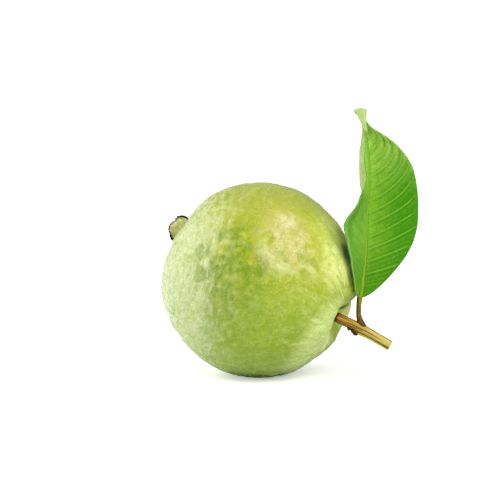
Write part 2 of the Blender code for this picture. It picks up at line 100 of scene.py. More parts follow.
# Small ridges and hollows of the skin, drawn through turns that rise and lean forward (degrees),
# with half their width (degrees) and their height (mm)
SKIN_FOLDS = (
    (((40, 59), (34, 56), (27, 54), (18, 52)), 2, -0.56),
    (((37, 64), (27, 60), (18, 56)), 1.7, 0.40),
    (((87, 61), (83, 67), (70, 71), (49, 73), (30, 69)), 1.7, 0.52),
    (((66, 66), (49, 67), (37, 65)), 2, -0.42),
    (((88, 52), (79, 48), (69, 47)), 2.4, 0.20),
    (((82, 52), (77, 57), (80, 62)), 1.7, -0.26),
    (((74, 52), (73, 59), (63, 63)), 1.7, 0.22),
    (((69, 43), (63, 39), (58, 39)), 2.2, 0.22),
    (((117, 36), (124, 45), (132, 51), (143, 55)), 1.5, 0.26),
    (((135, 44), (141, 51), (154, 53)), 1.8, 0.22),
    (((135, 26), (142, 35), (152, 39)), 2, 0.24),
    (((121, 22), (117, 29), (112, 32)), 2, 0.24),
    (((145, 22), (155, 29)), 2.4, 0.22),
    (((119, 67), (108, 73), (94, 77)), 2.6, -0.20),
    (((40, 39), (27, 39), (13, 39), (-2, 39)), 1.7, 0.24),
    (((39, 31), (25, 31), (10, 30), (-2, 30)), 1.6, 0.22),
    (((33, 35), (16, 35), (0, 34)), 1.5, -0.22),
    (((28, 50), (14, 48), (0, 45), (-11, 42)), 1.6, 0.26),
    (((-1, 55), (-12, 48), (-19, 41)), 2, -0.22),
    (((-12, 61), (-19, 50), (-23, 40)), 2, 0.22),
    (((-32, 59), (-28, 47), (-26, 38)), 2, -0.20),
)


def smooth(value, start, end):
    """0 at start and 1 at end, easing in and out."""
    share = min(max((value - start) / (end - start), 0), 1)
    return share * share * (3 - 2 * share)


def bell(off, width):
    """1 where off is 0, falling away on both sides over about width."""
    return math.exp(-((off / width) ** 2))


def heading(rise, forward):
    """The unit direction that rises from +X in the XZ plane and turns forward to -Y."""
    up = math.radians(rise)
    turn = math.radians(forward)
    return Vector((math.cos(turn) * math.cos(up), -math.sin(turn), math.cos(turn) * math.sin(up)))


STALK_POLE = heading(STALK_RISE, STALK_FORWARD)
CROWN_POLE = heading(CROWN_RISE, CROWN_FORWARD)
WRINKLE_POLE = heading(WRINKLE_RISE, WRINKLE_FORWARD)
STALK_TOP = (Vector((0, 0, 1)) - STALK_POLE * STALK_POLE.z).normalized()
STALK_BACK = STALK_TOP.cross(STALK_POLE)
DENT_WAYS = [(heading(rise, forward), reach, depth * MM) for rise, forward, reach, depth in DENTS]
FOLD_WAYS = []
for route, width, height in SKIN_FOLDS:
    ways = [heading(rise, forward) for rise, forward in route]
    FOLD_WAYS.append((ways, math.radians(width), height * MM))


def stalk_rib(way, angle):
    """The height of the ribs round the stalk hollow."""
    turn = math.degrees(math.atan2(way.dot(STALK_BACK), way.dot(STALK_TOP)))
    height = 0
    for middle, width, rise in STALK_RIBS:
        off = (turn - middle + 180) % 360 - 180
        height += rise * MM * bell(off, width)
    return height * smooth(angle, 4, 17) * (1 - smooth(angle, 22, 58))


def crown_rib(way, angle):
    """The height of the uneven folds round the crown's basin."""
    side = way - CROWN_POLE * way.dot(CROWN_POLE)
    if side.length < 1e-6:
        return 0
    wave = noise.noise(side.normalized() * 1.8 + CROWN_POLE * 3)
    return CROWN_RIB_HEIGHT * wave * smooth(angle, 5, 20) * (1 - smooth(angle, 24, 44))


def fruit_radius(way):
    """The distance from the fruit's centre to its skin in the unit direction way."""
    from_stalk = math.degrees(way.angle(STALK_POLE))
    from_crown = math.degrees(way.angle(CROWN_POLE))
    radius = FRUIT_RADIUS
    radius -= STALK_END_FALL * (1 - smooth(from_stalk, 0, 60))
    radius -= CROWN_END_FALL * (1 - smooth(from_crown, 0, 44))
    radius -= HOLLOW_DEPTH * (1 - smooth(from_stalk, HOLLOW_FLOOR, HOLLOW_RIM))
    radius -= BASIN_DEPTH * (1 - smooth(from_crown, BASIN_FLOOR, BASIN_RIM))
    radius += stalk_rib(way, from_stalk) + crown_rib(way, from_crown)
    calm = smooth(from_stalk, 8, 30) * smooth(from_crown, 10, 26)
    radius += SWELL_HEIGHT * calm * noise.noise(way * 2.2 + Vector((4.1, 0.3, 2.7)))
    radius += DIMPLE_HEIGHT * calm * noise.noise(way * 5.5 + Vector((1.7, 8.2, 0.4)))
    for middle, reach, depth in DENT_WAYS:
        angle = math.degrees(way.angle(middle))
        if angle < reach:
            radius -= depth * (1 - smooth(angle, 0, reach)) * smooth(from_stalk, 3, 9)
    return radius


def line_distance(way, before, after):
    """The distance from a point to the straight line between two others."""
    line = after - before
    share = min(max((way - before).dot(line) / line.dot(line), 0), 1)
    return (way - before - line * share).length


def skin_relief(way):
    """The height of the skin's wrinkles, puckers and folds in the unit direction way."""
    from_stalk = math.degrees(way.angle(STALK_POLE))
    from_crown = math.degrees(way.angle(CROWN_POLE))
    bend = Vector((noise.noise(way * 4), noise.noise(way * 4 + Vector((5, 0, 0))), 0))
    side = (way - WRINKLE_POLE * way.dot(WRINKLE_POLE)).normalized()
    from_pole = math.degrees(way.angle(WRINKLE_POLE))
    side *= smooth(from_pole, 0, 25)
    across_rings = from_pole / WRINKLE_SPACING
    ringed = 1 - 2.6 * abs(noise.noise(WRINKLE_POLE * across_rings + side * 2.8 + bend * 1.2))
    crinkled = 1 - 2.6 * abs(noise.noise(way * 9 + bend * 1.5))
    near_crown = 1 - smooth(from_crown, 45, 95)
    height = WRINKLE_HEIGHT * (near_crown * ringed + (1 - near_crown) * CRINKLE_SHARE * crinkled)
    height += PUCKER_HEIGHT * noise.noise(way * 17 + Vector((0.6, 3.3, 5.1)))
    height += PIMPLE_HEIGHT * noise.noise(way * 34 + Vector((7.9, 1.2, 2.2)))
    round_stalk = (way - STALK_POLE * way.dot(STALK_POLE)).normalized()
    radial = noise.noise(round_stalk * 7 + STALK_POLE * from_stalk / 30)
    outside_hollow = smooth(from_stalk, 12, 24)
    on_shoulder = 1 - smooth(from_stalk, 28, 62)
    height += RADIAL_FOLD_HEIGHT * radial * outside_hollow * on_shoulder
    for ways, width, rise in FOLD_WAYS:
        if way.dot(ways[0]) > 0.5:
            stretches = zip(ways, ways[1:])
            away = min(line_distance(way, before, after) for before, after in stretches)
            height += rise * bell(away, width)
    return height * smooth(from_stalk, 6, 14) * smooth(from_crown, 9, 18)


FRUIT_CENTRE = Vector((0, 0, fruit_radius(Vector((0, 0, -1))) - SEAT_DEPTH))


def grid_faces(rows, columns, closed):
    """The four-sided faces of a grid of points in rows; closed joins the last column to the first."""
    faces = []
    for row in range(rows - 1):
        for column in range(columns if closed else columns - 1):
            beside = (column + 1) % columns
            low, high = row * columns, (row + 1) * columns
            faces.append((low + column, low + beside, high + beside, high + column))
    return faces


def make_piece(name, points, faces, slot, *nodes, finish, marks):
    """A smooth mesh piece that hides the CAD nodes' own meshes in its place, rides on the root body and
    has a finish.
    Each mark is one number, or one vector, for every point, which the finish reads by its name."""
    mesh = bpy.data.meshes.new(name)
    mesh.from_pydata([tuple(point) for point in points], [], faces)
    mesh.validate()
    work = bmesh.new()
    work.from_mesh(mesh)
    bmesh.ops.recalc_face_normals(work, faces=work.faces)
    work.to_mesh(mesh)
    work.free()
    mesh.shade_smooth()
    for mark, values in marks.items():
        single = len(values) == len(mesh.vertices)
        layer = mesh.attributes.new(mark, "FLOAT" if single else "FLOAT_VECTOR", "POINT")
        layer.data.foreach_set("value" if single else "vector", values)
    mesh.materials.append(finish)
    piece = bpy.data.objects.new(name, mesh)
    bpy.context.scene.collection.objects.link(piece)
    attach(piece, "root")
    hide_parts(*nodes)
    return piece


def paint(red, green, blue):
    """A colour given as it shows on a screen, from 0 to 255, as the shader wants it."""
    linear = []
    for shown in (red, green, blue):
        bright = ((shown / 255 + 0.055) / 1.055) ** 2.4
        linear.append(bright if shown > 10 else shown / 255 / 12.92)
    return (*linear, 1)


class Finish:
    """A material with one Principled shader, and short ways to make its nodes."""

    def __init__(self, name, roughness=0.5, specular=0.5):
        self.material = bpy.data.materials.new(name)
        self.material.use_nodes = True
        self.tree = self.material.node_tree
        self.shader = self.tree.nodes["Principled BSDF"]
        self.shader.inputs["Roughness"].default_value = roughness
        self.shader.inputs["Specular IOR Level"].default_value = specular
        place = self.node("ShaderNodeTexCoord").outputs["Object"]
        scaling = {0: place, "Scale": 1 / MM}
        self.place = self.node("ShaderNodeVectorMath", scaling, operation="SCALE").outputs[0]
        self.colour = None

    def node(self, kind, inputs=None, **settings):
        """A node with these settings, and inputs that are set or linked."""
        made = self.tree.nodes.new(kind)
        for name, value in settings.items():
            setattr(made, name, value)
        for name, value in (inputs or {}).items():
            if isinstance(value, bpy.types.NodeSocket):
                self.tree.links.new(value, made.inputs[name])
            else:
                made.inputs[name].default_value = value
        return made

    def math(self, operation, *values):
        """One sum on one to three numbers."""
        return self.node("ShaderNodeMath", dict(enumerate(values)), operation=operation).outputs[0]

    def times(self, first, second):
        """The product of two numbers."""
        return self.math("MULTIPLY", first, second)

    def band(self, value, start, end, low=0, high=1):
        """low where value is at start and high where it is at end, easing in and out."""
        inputs = {"Value": value, "From Min": start, "From Max": end, "To Min": low, "To Max": high}
        if start > end:
            inputs.update({"From Min": end, "From Max": start, "To Min": high, "To Max": low})
        return self.node("ShaderNodeMapRange", inputs, interpolation_type="SMOOTHSTEP").outputs["Result"]

    def mix(self, share, first, second, blend="MIX"):
        """A colour between two colours."""
        made = self.node("ShaderNodeMix", data_type="RGBA", blend_type=blend)
        for name, value in (("Factor_Float", share), ("A_Color", first), ("B_Color", second)):
            socket = next(s for s in made.inputs if s.identifier == name)
            if isinstance(value, bpy.types.NodeSocket):
                self.tree.links.new(value, socket)
            else:
                socket.default_value = value
        return next(s for s in made.outputs if s.identifier == "Result_Color")

    def ground(self, share, first, second):
        """Start the colour afresh, between two tones from 0 to 255."""
        self.colour = self.mix(share, paint(*first), paint(*second))

    def coat(self, share, tone):
        """Lay a tone over the colour so far: three numbers from 0 to 255, or a colour of its own."""
        over = paint(*tone) if isinstance(tone, tuple) else tone
        self.colour = self.mix(share, self.colour, over)

    def tint(self, pattern, *tones, where=None):
        """Lay tones over a pattern's highs or lows: each one's start, end, strength and colour."""
        for start, end, most, tone in tones:
            share = self.band(pattern, start, end, 0, most)
            self.coat(share if where is None else self.times(share, where), tone)

    def cloud(self, size, place=None, detail=2, roughness=0.5, distortion=0):
        """Soft noise from 0 to 1 whose lumps are about size millimetres."""
        inputs = {"Vector": self.place if place is None else place, "Scale": 1 / size}
        inputs.update({"Detail": detail, "Roughness": roughness, "Distortion": distortion})
        return self.node("ShaderNodeTexNoise", inputs).outputs["Fac"]

    def cells(self, size, feature="F1"):
        """The distance to the nearest of scattered points that are about size millimetres apart."""
        inputs = {"Vector": self.place, "Scale": 1 / size}
        return self.node("ShaderNodeTexVoronoi", inputs, feature=feature).outputs[0]

    def stretch(self, sizes):
        """The place with each axis multiplied, so that a pattern is drawn out along the small ones."""
        inputs = {0: self.place, 1: sizes}
        return self.node("ShaderNodeVectorMath", inputs, operation="MULTIPLY").outputs[0]

    def near(self, middle, reach, soft):
        """1 within reach millimetres of a point, easing to 0 over soft millimetres more."""
        inputs = {0: self.place, 1: middle}
        away = self.node("ShaderNodeVectorMath", inputs, operation="DISTANCE").outputs["Value"]
        return self.band(away, reach + soft, reach)

    def dab(self, middle, reach, soft, lump, start, end):
        """A patch near a point, broken up by noise whose lumps are lump millimetres."""
        return self.times(self.near(middle, reach, soft), self.band(self.cloud(lump), start, end))

    def axis(self, name):
        """The place along X, Y or Z in millimetres."""
        return self.node("ShaderNodeSeparateXYZ", {0: self.place}).outputs[name]

    def kept(self, name, output="Fac"):
        """The number, or the vector, that the mesh keeps for each of its points."""
        return self.node("ShaderNodeAttribute", attribute_name=name).outputs[output]

    def bump(self, height, distance, normal=None):
        """The normal of a surface that rises by distance millimetres where height is 1."""
        inputs = {"Height": height, "Distance": distance * MM, "Strength": 1}
        if normal is not None:
            inputs["Normal"] = normal
        return self.node("ShaderNodeBump", inputs).outputs["Normal"]

    def use(self, **sockets):
        """Link or set the shader's sockets, named with _ for a space."""
        for name, value in sockets.items():
            socket = self.shader.inputs[name.replace("_", " ")]
            if isinstance(value, bpy.types.NodeSocket):
                self.tree.links.new(value, socket)
            else:
                socket.default_value = value


def fruit_skin():
    """Waxy yellow-green skin, streaked by the stalk and flecked, paler on its wrinkles and flanks partly
    as painted sheen, with painted highlights, painted light low on the right, and painted shade by the
    leaf, in the crease and in the pit.
    """
    skin = Finish("guava skin", specular=0.42)
    across = skin.axis("X")
    height = skin.axis("Z")
    relief = skin.kept("relief")
    patchy = skin.cloud(18, detail=3)
    lower = skin.band(skin.math("ADD", height, skin.times(patchy, 16)), 66, 38)
    skin.ground(lower, (184, 188, 36), (134, 164, 16))
    skin.tint(patchy, (0.40, 0.66, 0.4, (150, 170, 14)))
    # Pale mint on the left flank: partly the skin's own tone, partly painted sheen from the left lamp.
    # The whitest strip at the far left rim is a painted reflection of the white room.
    ragged = skin.math("ADD", across, skin.times(skin.cloud(8, detail=4), 18))
    skin.tint(ragged, (-2, -24, 0.9, (212, 226, 164)))
    skin.coat(skin.band(across, -35, -42), (236, 242, 202))
    # Pale yellow on the right flank above the hollow: partly the skin's own tone, partly painted light
    # from the right.
    above_hollow = skin.band(height, 40, 52, 0.1, 0.9)
    right_flank_tone_and_light = skin.times(skin.band(ragged, 28, 44), above_hollow)
    skin.coat(right_flank_tone_and_light, (222, 230, 128))
    skin.tint(height, (22, 3, 0.6, (134, 166, 58)))
    upper = skin.times(skin.band(height, 62, 84, 0, 0.7), skin.band(across, -28, -10))
    skin.coat(upper, (168, 180, 66))
    # Painted highlight: a yellow spot, a cream patch and a pale glint where the key lamp's highlight
    # falls.
    skin.coat(skin.near((9, -30, 73), 3, 12), (192, 192, 76))
    deep = skin.dab((-12, -37, 53), 11, 13, 5, 0.3, 0.6)
    skin.coat(deep, (118, 150, 0))
    highlight_cream = skin.dab((10, -36, 62), 8, 8, 5, 0.30, 0.56)
    skin.coat(skin.times(highlight_cream, 0.6), (230, 208, 150))
    painted_glint = skin.dab((12, -31, 72), 2, 5, 3, 0.35, 0.6)
    skin.coat(skin.times(painted_glint, 0.7), (242, 226, 172))
    crumpled = skin.near((12, -38, 57), 11, 9)
    wrinkled = skin.math("MAXIMUM", skin.band(across, 2, -20, 0.35, 1), crumpled)
    # Painted highlight and shade: pale on the raised wrinkles and folds, deep green in the sunken ones.
    ridge_highlight = (0.06, 0.40, 0.5, (218, 228, 152))
    hollow_shade = (0.02, -0.30, 0.6, (134, 166, 30))
    skin.tint(relief, ridge_highlight, hollow_shade, where=wrinkled)
    # Painted light: paler patches low on the right, standing in for light from the right.
    skin.coat(skin.near((31, -24, 21), 10, 11), (202, 220, 128))
    skin.coat(skin.near((21, -22, 9), 5, 9), (190, 212, 122))
    skin.coat(skin.near((35, -15, 17), 5, 6), (228, 242, 176))
    # Painted light: a pale patch on the far wall of the stalk hollow.
    far_wall_light = skin.times(skin.near((39, 4, 30), 5, 5), 0.7)
    skin.coat(far_wall_light, (240, 250, 160))
    # Painted light: a pale lime patch on the right flank that lightens the leaf's shadow there.
    flank_light_dab = skin.dab((33, -25, 54), 4, 10, 4, 0.3, 0.6)
    skin.coat(skin.times(flank_light_dab, 0.6), (238, 242, 158))
    crumple = skin.cloud(3, detail=5, roughness=0.65, distortion=1.2)
    # Painted shade: green where the crumples sink inside the highlight patch.
    skin.tint(crumple, (0.47, 0.36, 0.7, (170, 184, 62)), where=crumpled)
    ringed = skin.cloud(0.30, place=skin.kept("ringed", "Vector"), detail=5, roughness=0.7)
    flank = skin.band(ragged, 2, -16)
    # Painted sheen on the flank's ring ridges, pale, and painted shade between them, green.
    ring_sheen = (0.50, 0.64, 0.6, (232, 240, 198))
    ring_shade = (0.48, 0.34, 0.65, (150, 188, 72))
    skin.tint(ringed, ring_sheen, ring_shade, where=flank)
    streak = skin.cloud(0.07, place=skin.kept("streak", "Vector"), detail=4, roughness=0.65)
    by_stalk = skin.band(skin.kept("from_stalk"), 66, 20)
    pale_streak = (0.50, 0.64, 0.6, (236, 242, 164))
    green_streak = (0.46, 0.34, 0.5, (148, 178, 52))
    skin.tint(streak, pale_streak, green_streak, where=by_stalk)
    mottle = skin.cloud(2, detail=5, roughness=0.7)
    skin.tint(mottle, (0.48, 0.66, 0.22, (212, 220, 100)), (0.48, 0.32, 0.34, (134, 160, 20)))
    grain = skin.cloud(0.8, detail=3, roughness=0.6)
    skin.tint(grain, (0.52, 0.68, 0.26, (216, 224, 106)), (0.48, 0.34, 0.30, (126, 152, 24)))
    flecks = skin.band(skin.cells(1.25), 0.10, 0.24, 0.24, 0)
    skin.coat(flecks, (232, 236, 168))
    # Painted shadow: deep green on the fruit beside the leaf, where the leaf shades it.
    leaf_shadow_paint = skin.near((39, -15, 56), 2.5, 6)
    leaf_shadow_paint = skin.math("MAXIMUM", leaf_shadow_paint, skin.near((41, -14, 49), 2, 5))
    above = skin.times(skin.near((36.5, -12, 64), 1.5, 5), 0.5)
    leaf_shadow_paint = skin.math("MAXIMUM", leaf_shadow_paint, above)
    skin.coat(skin.times(leaf_shadow_paint, 0.9), (24, 80, 0))
    speck = skin.band(skin.cells(6), 0.085, 0.05)
    speck = skin.times(speck, skin.band(skin.cloud(14), 0.48, 0.55))
    skin.coat(skin.times(speck, 0.6), (96, 92, 26))
    skin.coat(skin.band(skin.kept("from_stalk"), 16, 9, 0, 0.5), (214, 226, 66))
    # Painted shade: dark olive along the crease beside the stalk hollow.
    skin.coat(skin.times(skin.kept("crease"), 0.9), (36, 54, 8))
    # Dark brown in the pit round the twig: partly the stalk end's own colour, partly painted shade in
    # the recess.
    pit_brown_and_shade = skin.band(skin.kept("from_stalk"), 7.5, 4.5)
    skin.coat(pit_brown_and_shade, (52, 42, 10))
    normal = skin.bump(skin.band(skin.cells(0.9), 0, 0.45), 0.02)
    normal = skin.bump(skin.cloud(1.7, detail=4, roughness=0.6), 0.14, normal)
    normal = skin.bump(skin.times(streak, by_stalk), 0.30, normal)
    normal = skin.bump(skin.times(ringed, flank), 0.9, normal)
    normal = skin.bump(skin.times(crumple, crumpled), 0.55, normal)
    roughness = skin.band(skin.cloud(3, detail=3), 0.3, 0.7, 0.20, 0.33)
    dull = skin.times(skin.near((40, -6, 58), 15, 6), 0.25)
    roughness = skin.math("ADD", roughness, dull)
    roughness = skin.math("ADD", roughness, skin.band(skin.kept("from_stalk"), 30, 18, 0, 0.4))
    skin.use(Base_Color=skin.colour, Roughness=roughness, Normal=normal)
    return skin.material


fruit_points = []
fruit_marks = {"from_stalk": [], "relief": [], "crease": [], "streak": [], "ringed": []}
turned = Vector((0, 0, 1)).rotation_difference(STALK_POLE)
for ring in range(FRUIT_RINGS + 1):
    polar = math.pi * ring / FRUIT_RINGS
    polar -= RING_CROWDING * math.sin(2 * polar)
    for meridian in range(FRUIT_MERIDIANS):
        if ring in (0, FRUIT_RINGS) and meridian:
            continue
        turn = 2 * math.pi * meridian / FRUIT_MERIDIANS
        aside = math.sin(polar)
        way = Vector((aside * math.cos(turn), aside * math.sin(turn), math.cos(polar)))
        way.rotate(turned)
        height = skin_relief(way)
        point = FRUIT_CENTRE + way * (fruit_radius(way) + height)
        point.z = max(point.z, 0)
        fruit_points.append(point)
        fruit_marks["relief"].append(height / MM)
        round_stalk = math.degrees(math.atan2(way.dot(STALK_BACK), way.dot(STALK_TOP)))
        # The crease mark tells where painted shade goes along the crease by the stalk hollow.
        off = (round_stalk - CREASE_TURN) * aside
        fruit_marks["from_stalk"].append(math.degrees(polar))
        fruit_marks["crease"].append(bell(off, CREASE_WIDTH) * (1 - smooth(math.degrees(polar), 12, 24)))
        fruit_marks["streak"].extend((math.cos(turn), math.sin(turn), 0.35 * polar))
        from_pole = way.angle(WRINKLE_POLE)
        beside = (way - WRINKLE_POLE * way.dot(WRINKLE_POLE)).normalized() * smooth(from_pole, 0, 0.5)
        fruit_marks["ringed"].extend(beside * 2.3 + WRINKLE_POLE * (from_pole * 8))
ring_faces = grid_faces(FRUIT_RINGS - 1, FRUIT_MERIDIANS, closed=True)
fruit_faces = [tuple(corner + 1 for corner in face) for face in ring_faces]
last_ring = 1 + (FRUIT_RINGS - 2) * FRUIT_MERIDIANS
crown_end = len(fruit_points) - 1
for meridian in range(FRUIT_MERIDIANS):
    beside = (meridian + 1) % FRUIT_MERIDIANS
    fruit_faces.append((0, 1 + beside, 1 + meridian))
    fruit_faces.append((crown_end, last_ring + meridian, last_ring + beside))
make_piece("guava_fruit", fruit_points, fruit_faces, "guava_skin", "fruit",
           finish=fruit_skin(), marks=fruit_marks)


# Crown
# The dried calyx at the blossom end: a papery cup that split into five sepals as the flower opened.
# It is one thin sheet, ragged and curled at its edge, seated on the basin's floor.
GAP = 0.3 * MM
SEPALS = 5
CROWN_RADIUS = 6.2 * MM
CROWN_HEIGHT = 6.4 * MM
CROWN_WALL = 0.8 * MM
CROWN_FLOOR = 0.4
CROWN_FLOOR_WIDTH = 0.7
CROWN_SAG = 0.5 * MM
SEPAL_CUT = 0.10
CROWN_CURL = 1.9 * MM
CROWN_LEAN = 0.2 * MM
CROWN_DROOP = 0.30
CROWN_FLARE = 0.8 * MM
CROWN_SIDES = 200
CROWN_RINGS = 44
SEPAL_WALL = 0.45 * MM
SEPAL_ROUNDING = 0.7
RIM_REACH = 0.98
RIM_END_SHADE = 0.20
RIM_WAVES = 0.12
RIM_TEETH = 0.07
SEPAL_CREASE = 0.25 * MM


def seat(pole, depth):
    """The point on the pole's axis that is depth above the fruit's skin."""
    return FRUIT_CENTRE + pole * (fruit_radius(pole) + depth)


def ring_noise(angle, size, place):
    """Noise that closes on itself round a ring; size sets how many lumps it has."""
    return noise.noise(Vector((math.cos(angle) * size, math.sin(angle) * size, place)))


def dried_sepal():
    """Dry olive-khaki tissue with fine nerves, black where the edge has curled and died back."""
    sepal = Finish("dried sepal", roughness=0.8, specular=0.25)
    rim = sepal.kept("rim")
    nerve_place = sepal.kept("nerve", "Vector")
    nerves = sepal.cloud(0.16, place=nerve_place, detail=4, roughness=0.7)
    blotch = sepal.cloud(2.2, detail=3)
    sepal.ground(sepal.band(blotch, 0.35, 0.65), (232, 228, 168), (188, 184, 114))
    sepal.tint(nerves, (0.45, 0.68, 0.65, (104, 92, 46)))
    edge = sepal.math("ADD", rim, sepal.times(sepal.cloud(1.2, detail=3), 0.16))
    sepal.tint(edge, (0.90, 1.00, 0.75, (74, 58, 26)))
    sepal.coat(sepal.band(edge, 0.98, 1.05), (16, 11, 7))
    normal = sepal.bump(nerves, 0.25)
    normal = sepal.bump(sepal.cloud(0.7, detail=3), 0.12, normal)
    sepal.use(Base_Color=sepal.colour, Normal=normal)
    return sepal.material


crown_points = []
crown_marks = {"rim": [], "nerve": []}
crown_turn = Vector((0, 0, 1)).rotation_difference(CROWN_POLE)
crown_foot = seat(CROWN_POLE, GAP + 0.5 * CROWN_WALL + CROWN_SAG)
for ring in range(CROWN_RINGS + 1):
    share = (ring + 0.25) / (CROWN_RINGS + 0.25)
    for side in range(CROWN_SIDES):
        angle = 2 * math.pi * side / CROWN_SIDES
        sepal_form = abs(math.sin(0.5 * SEPALS * angle)) ** SEPAL_ROUNDING
        uneven = ring_noise(angle, 1.4, 5)
        ragged = ring_noise(angle, 9, 2)
        end = math.cos(angle) ** 4
        edge = RIM_REACH - SEPAL_CUT + SEPAL_CUT * sepal_form + RIM_WAVES * uneven + RIM_TEETH * ragged
        reach = share * edge
        reach *= 1 - CROWN_DROOP * end
        floor_share = min(reach / CROWN_FLOOR, 1)
        wall = max(reach - CROWN_FLOOR, 0) / (1 - CROWN_FLOOR)
        curl = CROWN_CURL * wall ** 3 * (0.5 + 2 * uneven)
        spread = (1 - CROWN_FLOOR_WIDTH) * math.sin(0.5 * math.pi * min(wall, 1))
        crease = SEPAL_CREASE * wall * ring_noise(angle, 6, 3 * share)
        radius = CROWN_RADIUS * (CROWN_FLOOR_WIDTH * floor_share + spread) - curl + crease
        radius += CROWN_FLARE * end * share ** 2
        height = CROWN_HEIGHT * wall - CROWN_SAG * (1 - floor_share)
        local = Vector((radius * math.cos(angle) + CROWN_LEAN * wall, radius * math.sin(angle), height))
        local.rotate(crown_turn)
        crown_points.append(crown_foot + local)
        crown_marks["rim"].append(share + RIM_END_SHADE * end - 0.04)
        crown_marks["nerve"].extend((math.cos(angle), math.sin(angle), 0.2 * share))
crown_faces = grid_faces(CROWN_RINGS + 1, CROWN_SIDES, closed=True)
crown_faces.append(tuple(range(CROWN_SIDES)))
crown = make_piece("guava_crown", crown_points, crown_faces, "dried_sepal", "calyx",
                   finish=dried_sepal(), marks=crown_marks)
crown_wall = crown.modifiers.new("Wall", "SOLIDIFY")
crown_wall.thickness = SEPAL_WALL
crown_wall.offset = 0


# Stamens
# The dried remains of the flower inside the crown: a ring of thread-like stubs round a thicker style.
# Each thread is a thin bent tube that stands on the flower's disc.
STAMEN_RING = 2.9 * MM
STAMEN_LENGTH = 3.6 * MM
STYLE_LENGTH = 4.8 * MM
DISC_THICKNESS = 0.7 * MM
THREADS = 34
THREAD_RADIUS = 0.16 * MM
STYLE_RADIUS = 0.45 * MM
THREAD_SWAY = 0.5
THREAD_CURL = 1.1
THREAD_TWIST = 1.6
THREAD_TAPER = 0.45
THREAD_SIDES = 8
THREAD_RINGS = 10


def add_thread(points, faces, route, radii, sides):
    """A closed round tube along a route, added to a mesh's points and faces."""
    start = len(points)
    normal = (route[1] - route[0]).orthogonal().normalized()
    for number, (middle, radius) in enumerate(zip(route, radii)):
        before = route[max(number - 1, 0)]
        after = route[min(number + 1, len(route) - 1)]
        along = (after - before).normalized()
        normal = (normal - along * normal.dot(along)).normalized()
        across = along.cross(normal)
        for side in range(sides):
            angle = 2 * math.pi * side / sides
            points.append(middle + (normal * math.cos(angle) + across * math.sin(angle)) * radius)
    for face in grid_faces(len(route), sides, closed=True):
        faces.append(tuple(start + corner for corner in face))
    faces.append(tuple(range(start + sides - 1, start - 1, -1)))
    last = start + (len(route) - 1) * sides
    faces.append(tuple(range(last, last + sides)))


def dried_stamen():
    """Dry brown-black threads, paler towards their roots."""
    thread = Finish("dried stamen", roughness=0.75, specular=0.2)
    thread.ground(thread.band(thread.cloud(0.8), 0.35, 0.7), (42, 30, 18), (104, 78, 42))
    thread.use(Base_Color=thread.colour, Normal=thread.bump(thread.cloud(0.3, detail=3), 0.06))
    return thread.material


stamen_points = []
stamen_faces = []
disc_foot = Vector((0, 0, 0.5 * CROWN_WALL + GAP))
disc_route = [disc_foot + Vector((0, 0, DISC_THICKNESS * step / 4)) for step in range(5)]
disc_radii = [STAMEN_RING, STAMEN_RING * 1.12, STAMEN_RING * 1.12, STAMEN_RING * 0.9, STAMEN_RING * 0.5]
add_thread(stamen_points, stamen_faces, disc_route, disc_radii, 48)
for number in range(THREADS + 1):
    style = number == THREADS
    angle = 2 * math.pi * number / THREADS
    lean = noise.noise(Vector((number * 1.7, 3.1, 0)))
    twist = noise.noise(Vector((number * 1.3, 0, 7.7)))
    outward = Vector((math.cos(angle), math.sin(angle), 0))
    sideways = Vector((-math.sin(angle), math.cos(angle), 0))
    length = STYLE_LENGTH if style else STAMEN_LENGTH * (0.95 + 0.6 * twist)
    foot = disc_foot + Vector((0, 0, 0.5 * DISC_THICKNESS))
    foot += outward * (0 if style else STAMEN_RING * (0.86 + 0.2 * lean))
    thick = STYLE_RADIUS if style else THREAD_RADIUS
    route = []
    for step in range(THREAD_RINGS):
        share = step / (THREAD_RINGS - 1)
        sway = THREAD_SWAY * lean * math.sin(3 * share) - THREAD_CURL * share ** 2
        bend = outward * sway + sideways * (THREAD_TWIST * twist * share ** 2)
        route.append(foot + Vector((0, 0, length * share)) + bend * MM)
    radii = [thick * (1 - THREAD_TAPER * step / THREAD_RINGS) for step in range(THREAD_RINGS)]
    radii[-1] *= 1.2 if style else 1.6
    add_thread(stamen_points, stamen_faces, route, radii, THREAD_SIDES)
for point in stamen_points:
    point.rotate(crown_turn)
    point += crown_foot
make_piece("guava_stamens", stamen_points, stamen_faces, "dried_stamen", "stamens",
           finish=dried_stamen(), marks={})


# Twig
# The cut end of the fruiting shoot: young wood with four soft angles and a swollen node.
# It grows out of the stalk hollow. Under the node is the scar of a fallen leaf, with its ridge.
TWIG_END = Vector((57.6, -16.9, 15.8)) * MM
TWIG_RADIUS = 2.05 * MM
TWIG_BOW = 0.45 * MM
TWIG_RINGS = 150
TWIG_SIDES = 72
NODE_AT = 0.49
NODE_SWELL = 0.14
NODE_REACH = 0.13
TWIG_RIDGE = 0.10
SCAR_AT = 0.42
SCAR_RADIUS = 1.5 * MM
STRIP_RISE = 0.40 * MM
STRIP_TURN = -68
STRIP_WIDTH = 13
STRIP_START = 0.06
GROOVE_TURN = 2.1 * STRIP_WIDTH
GROOVE_DEPTH = 0.16 * MM
FRONT_GROOVE = 79
LOW_GROOVE = 290
GROOVE_WIDTH = 9
GROOVE_FAINTNESS = 0.8
BARK_WEAR = 0.06 * MM
CUT_RINGS = 14
PITH_SHARE = 0.22
PITH_DEPTH = 0.25 * MM


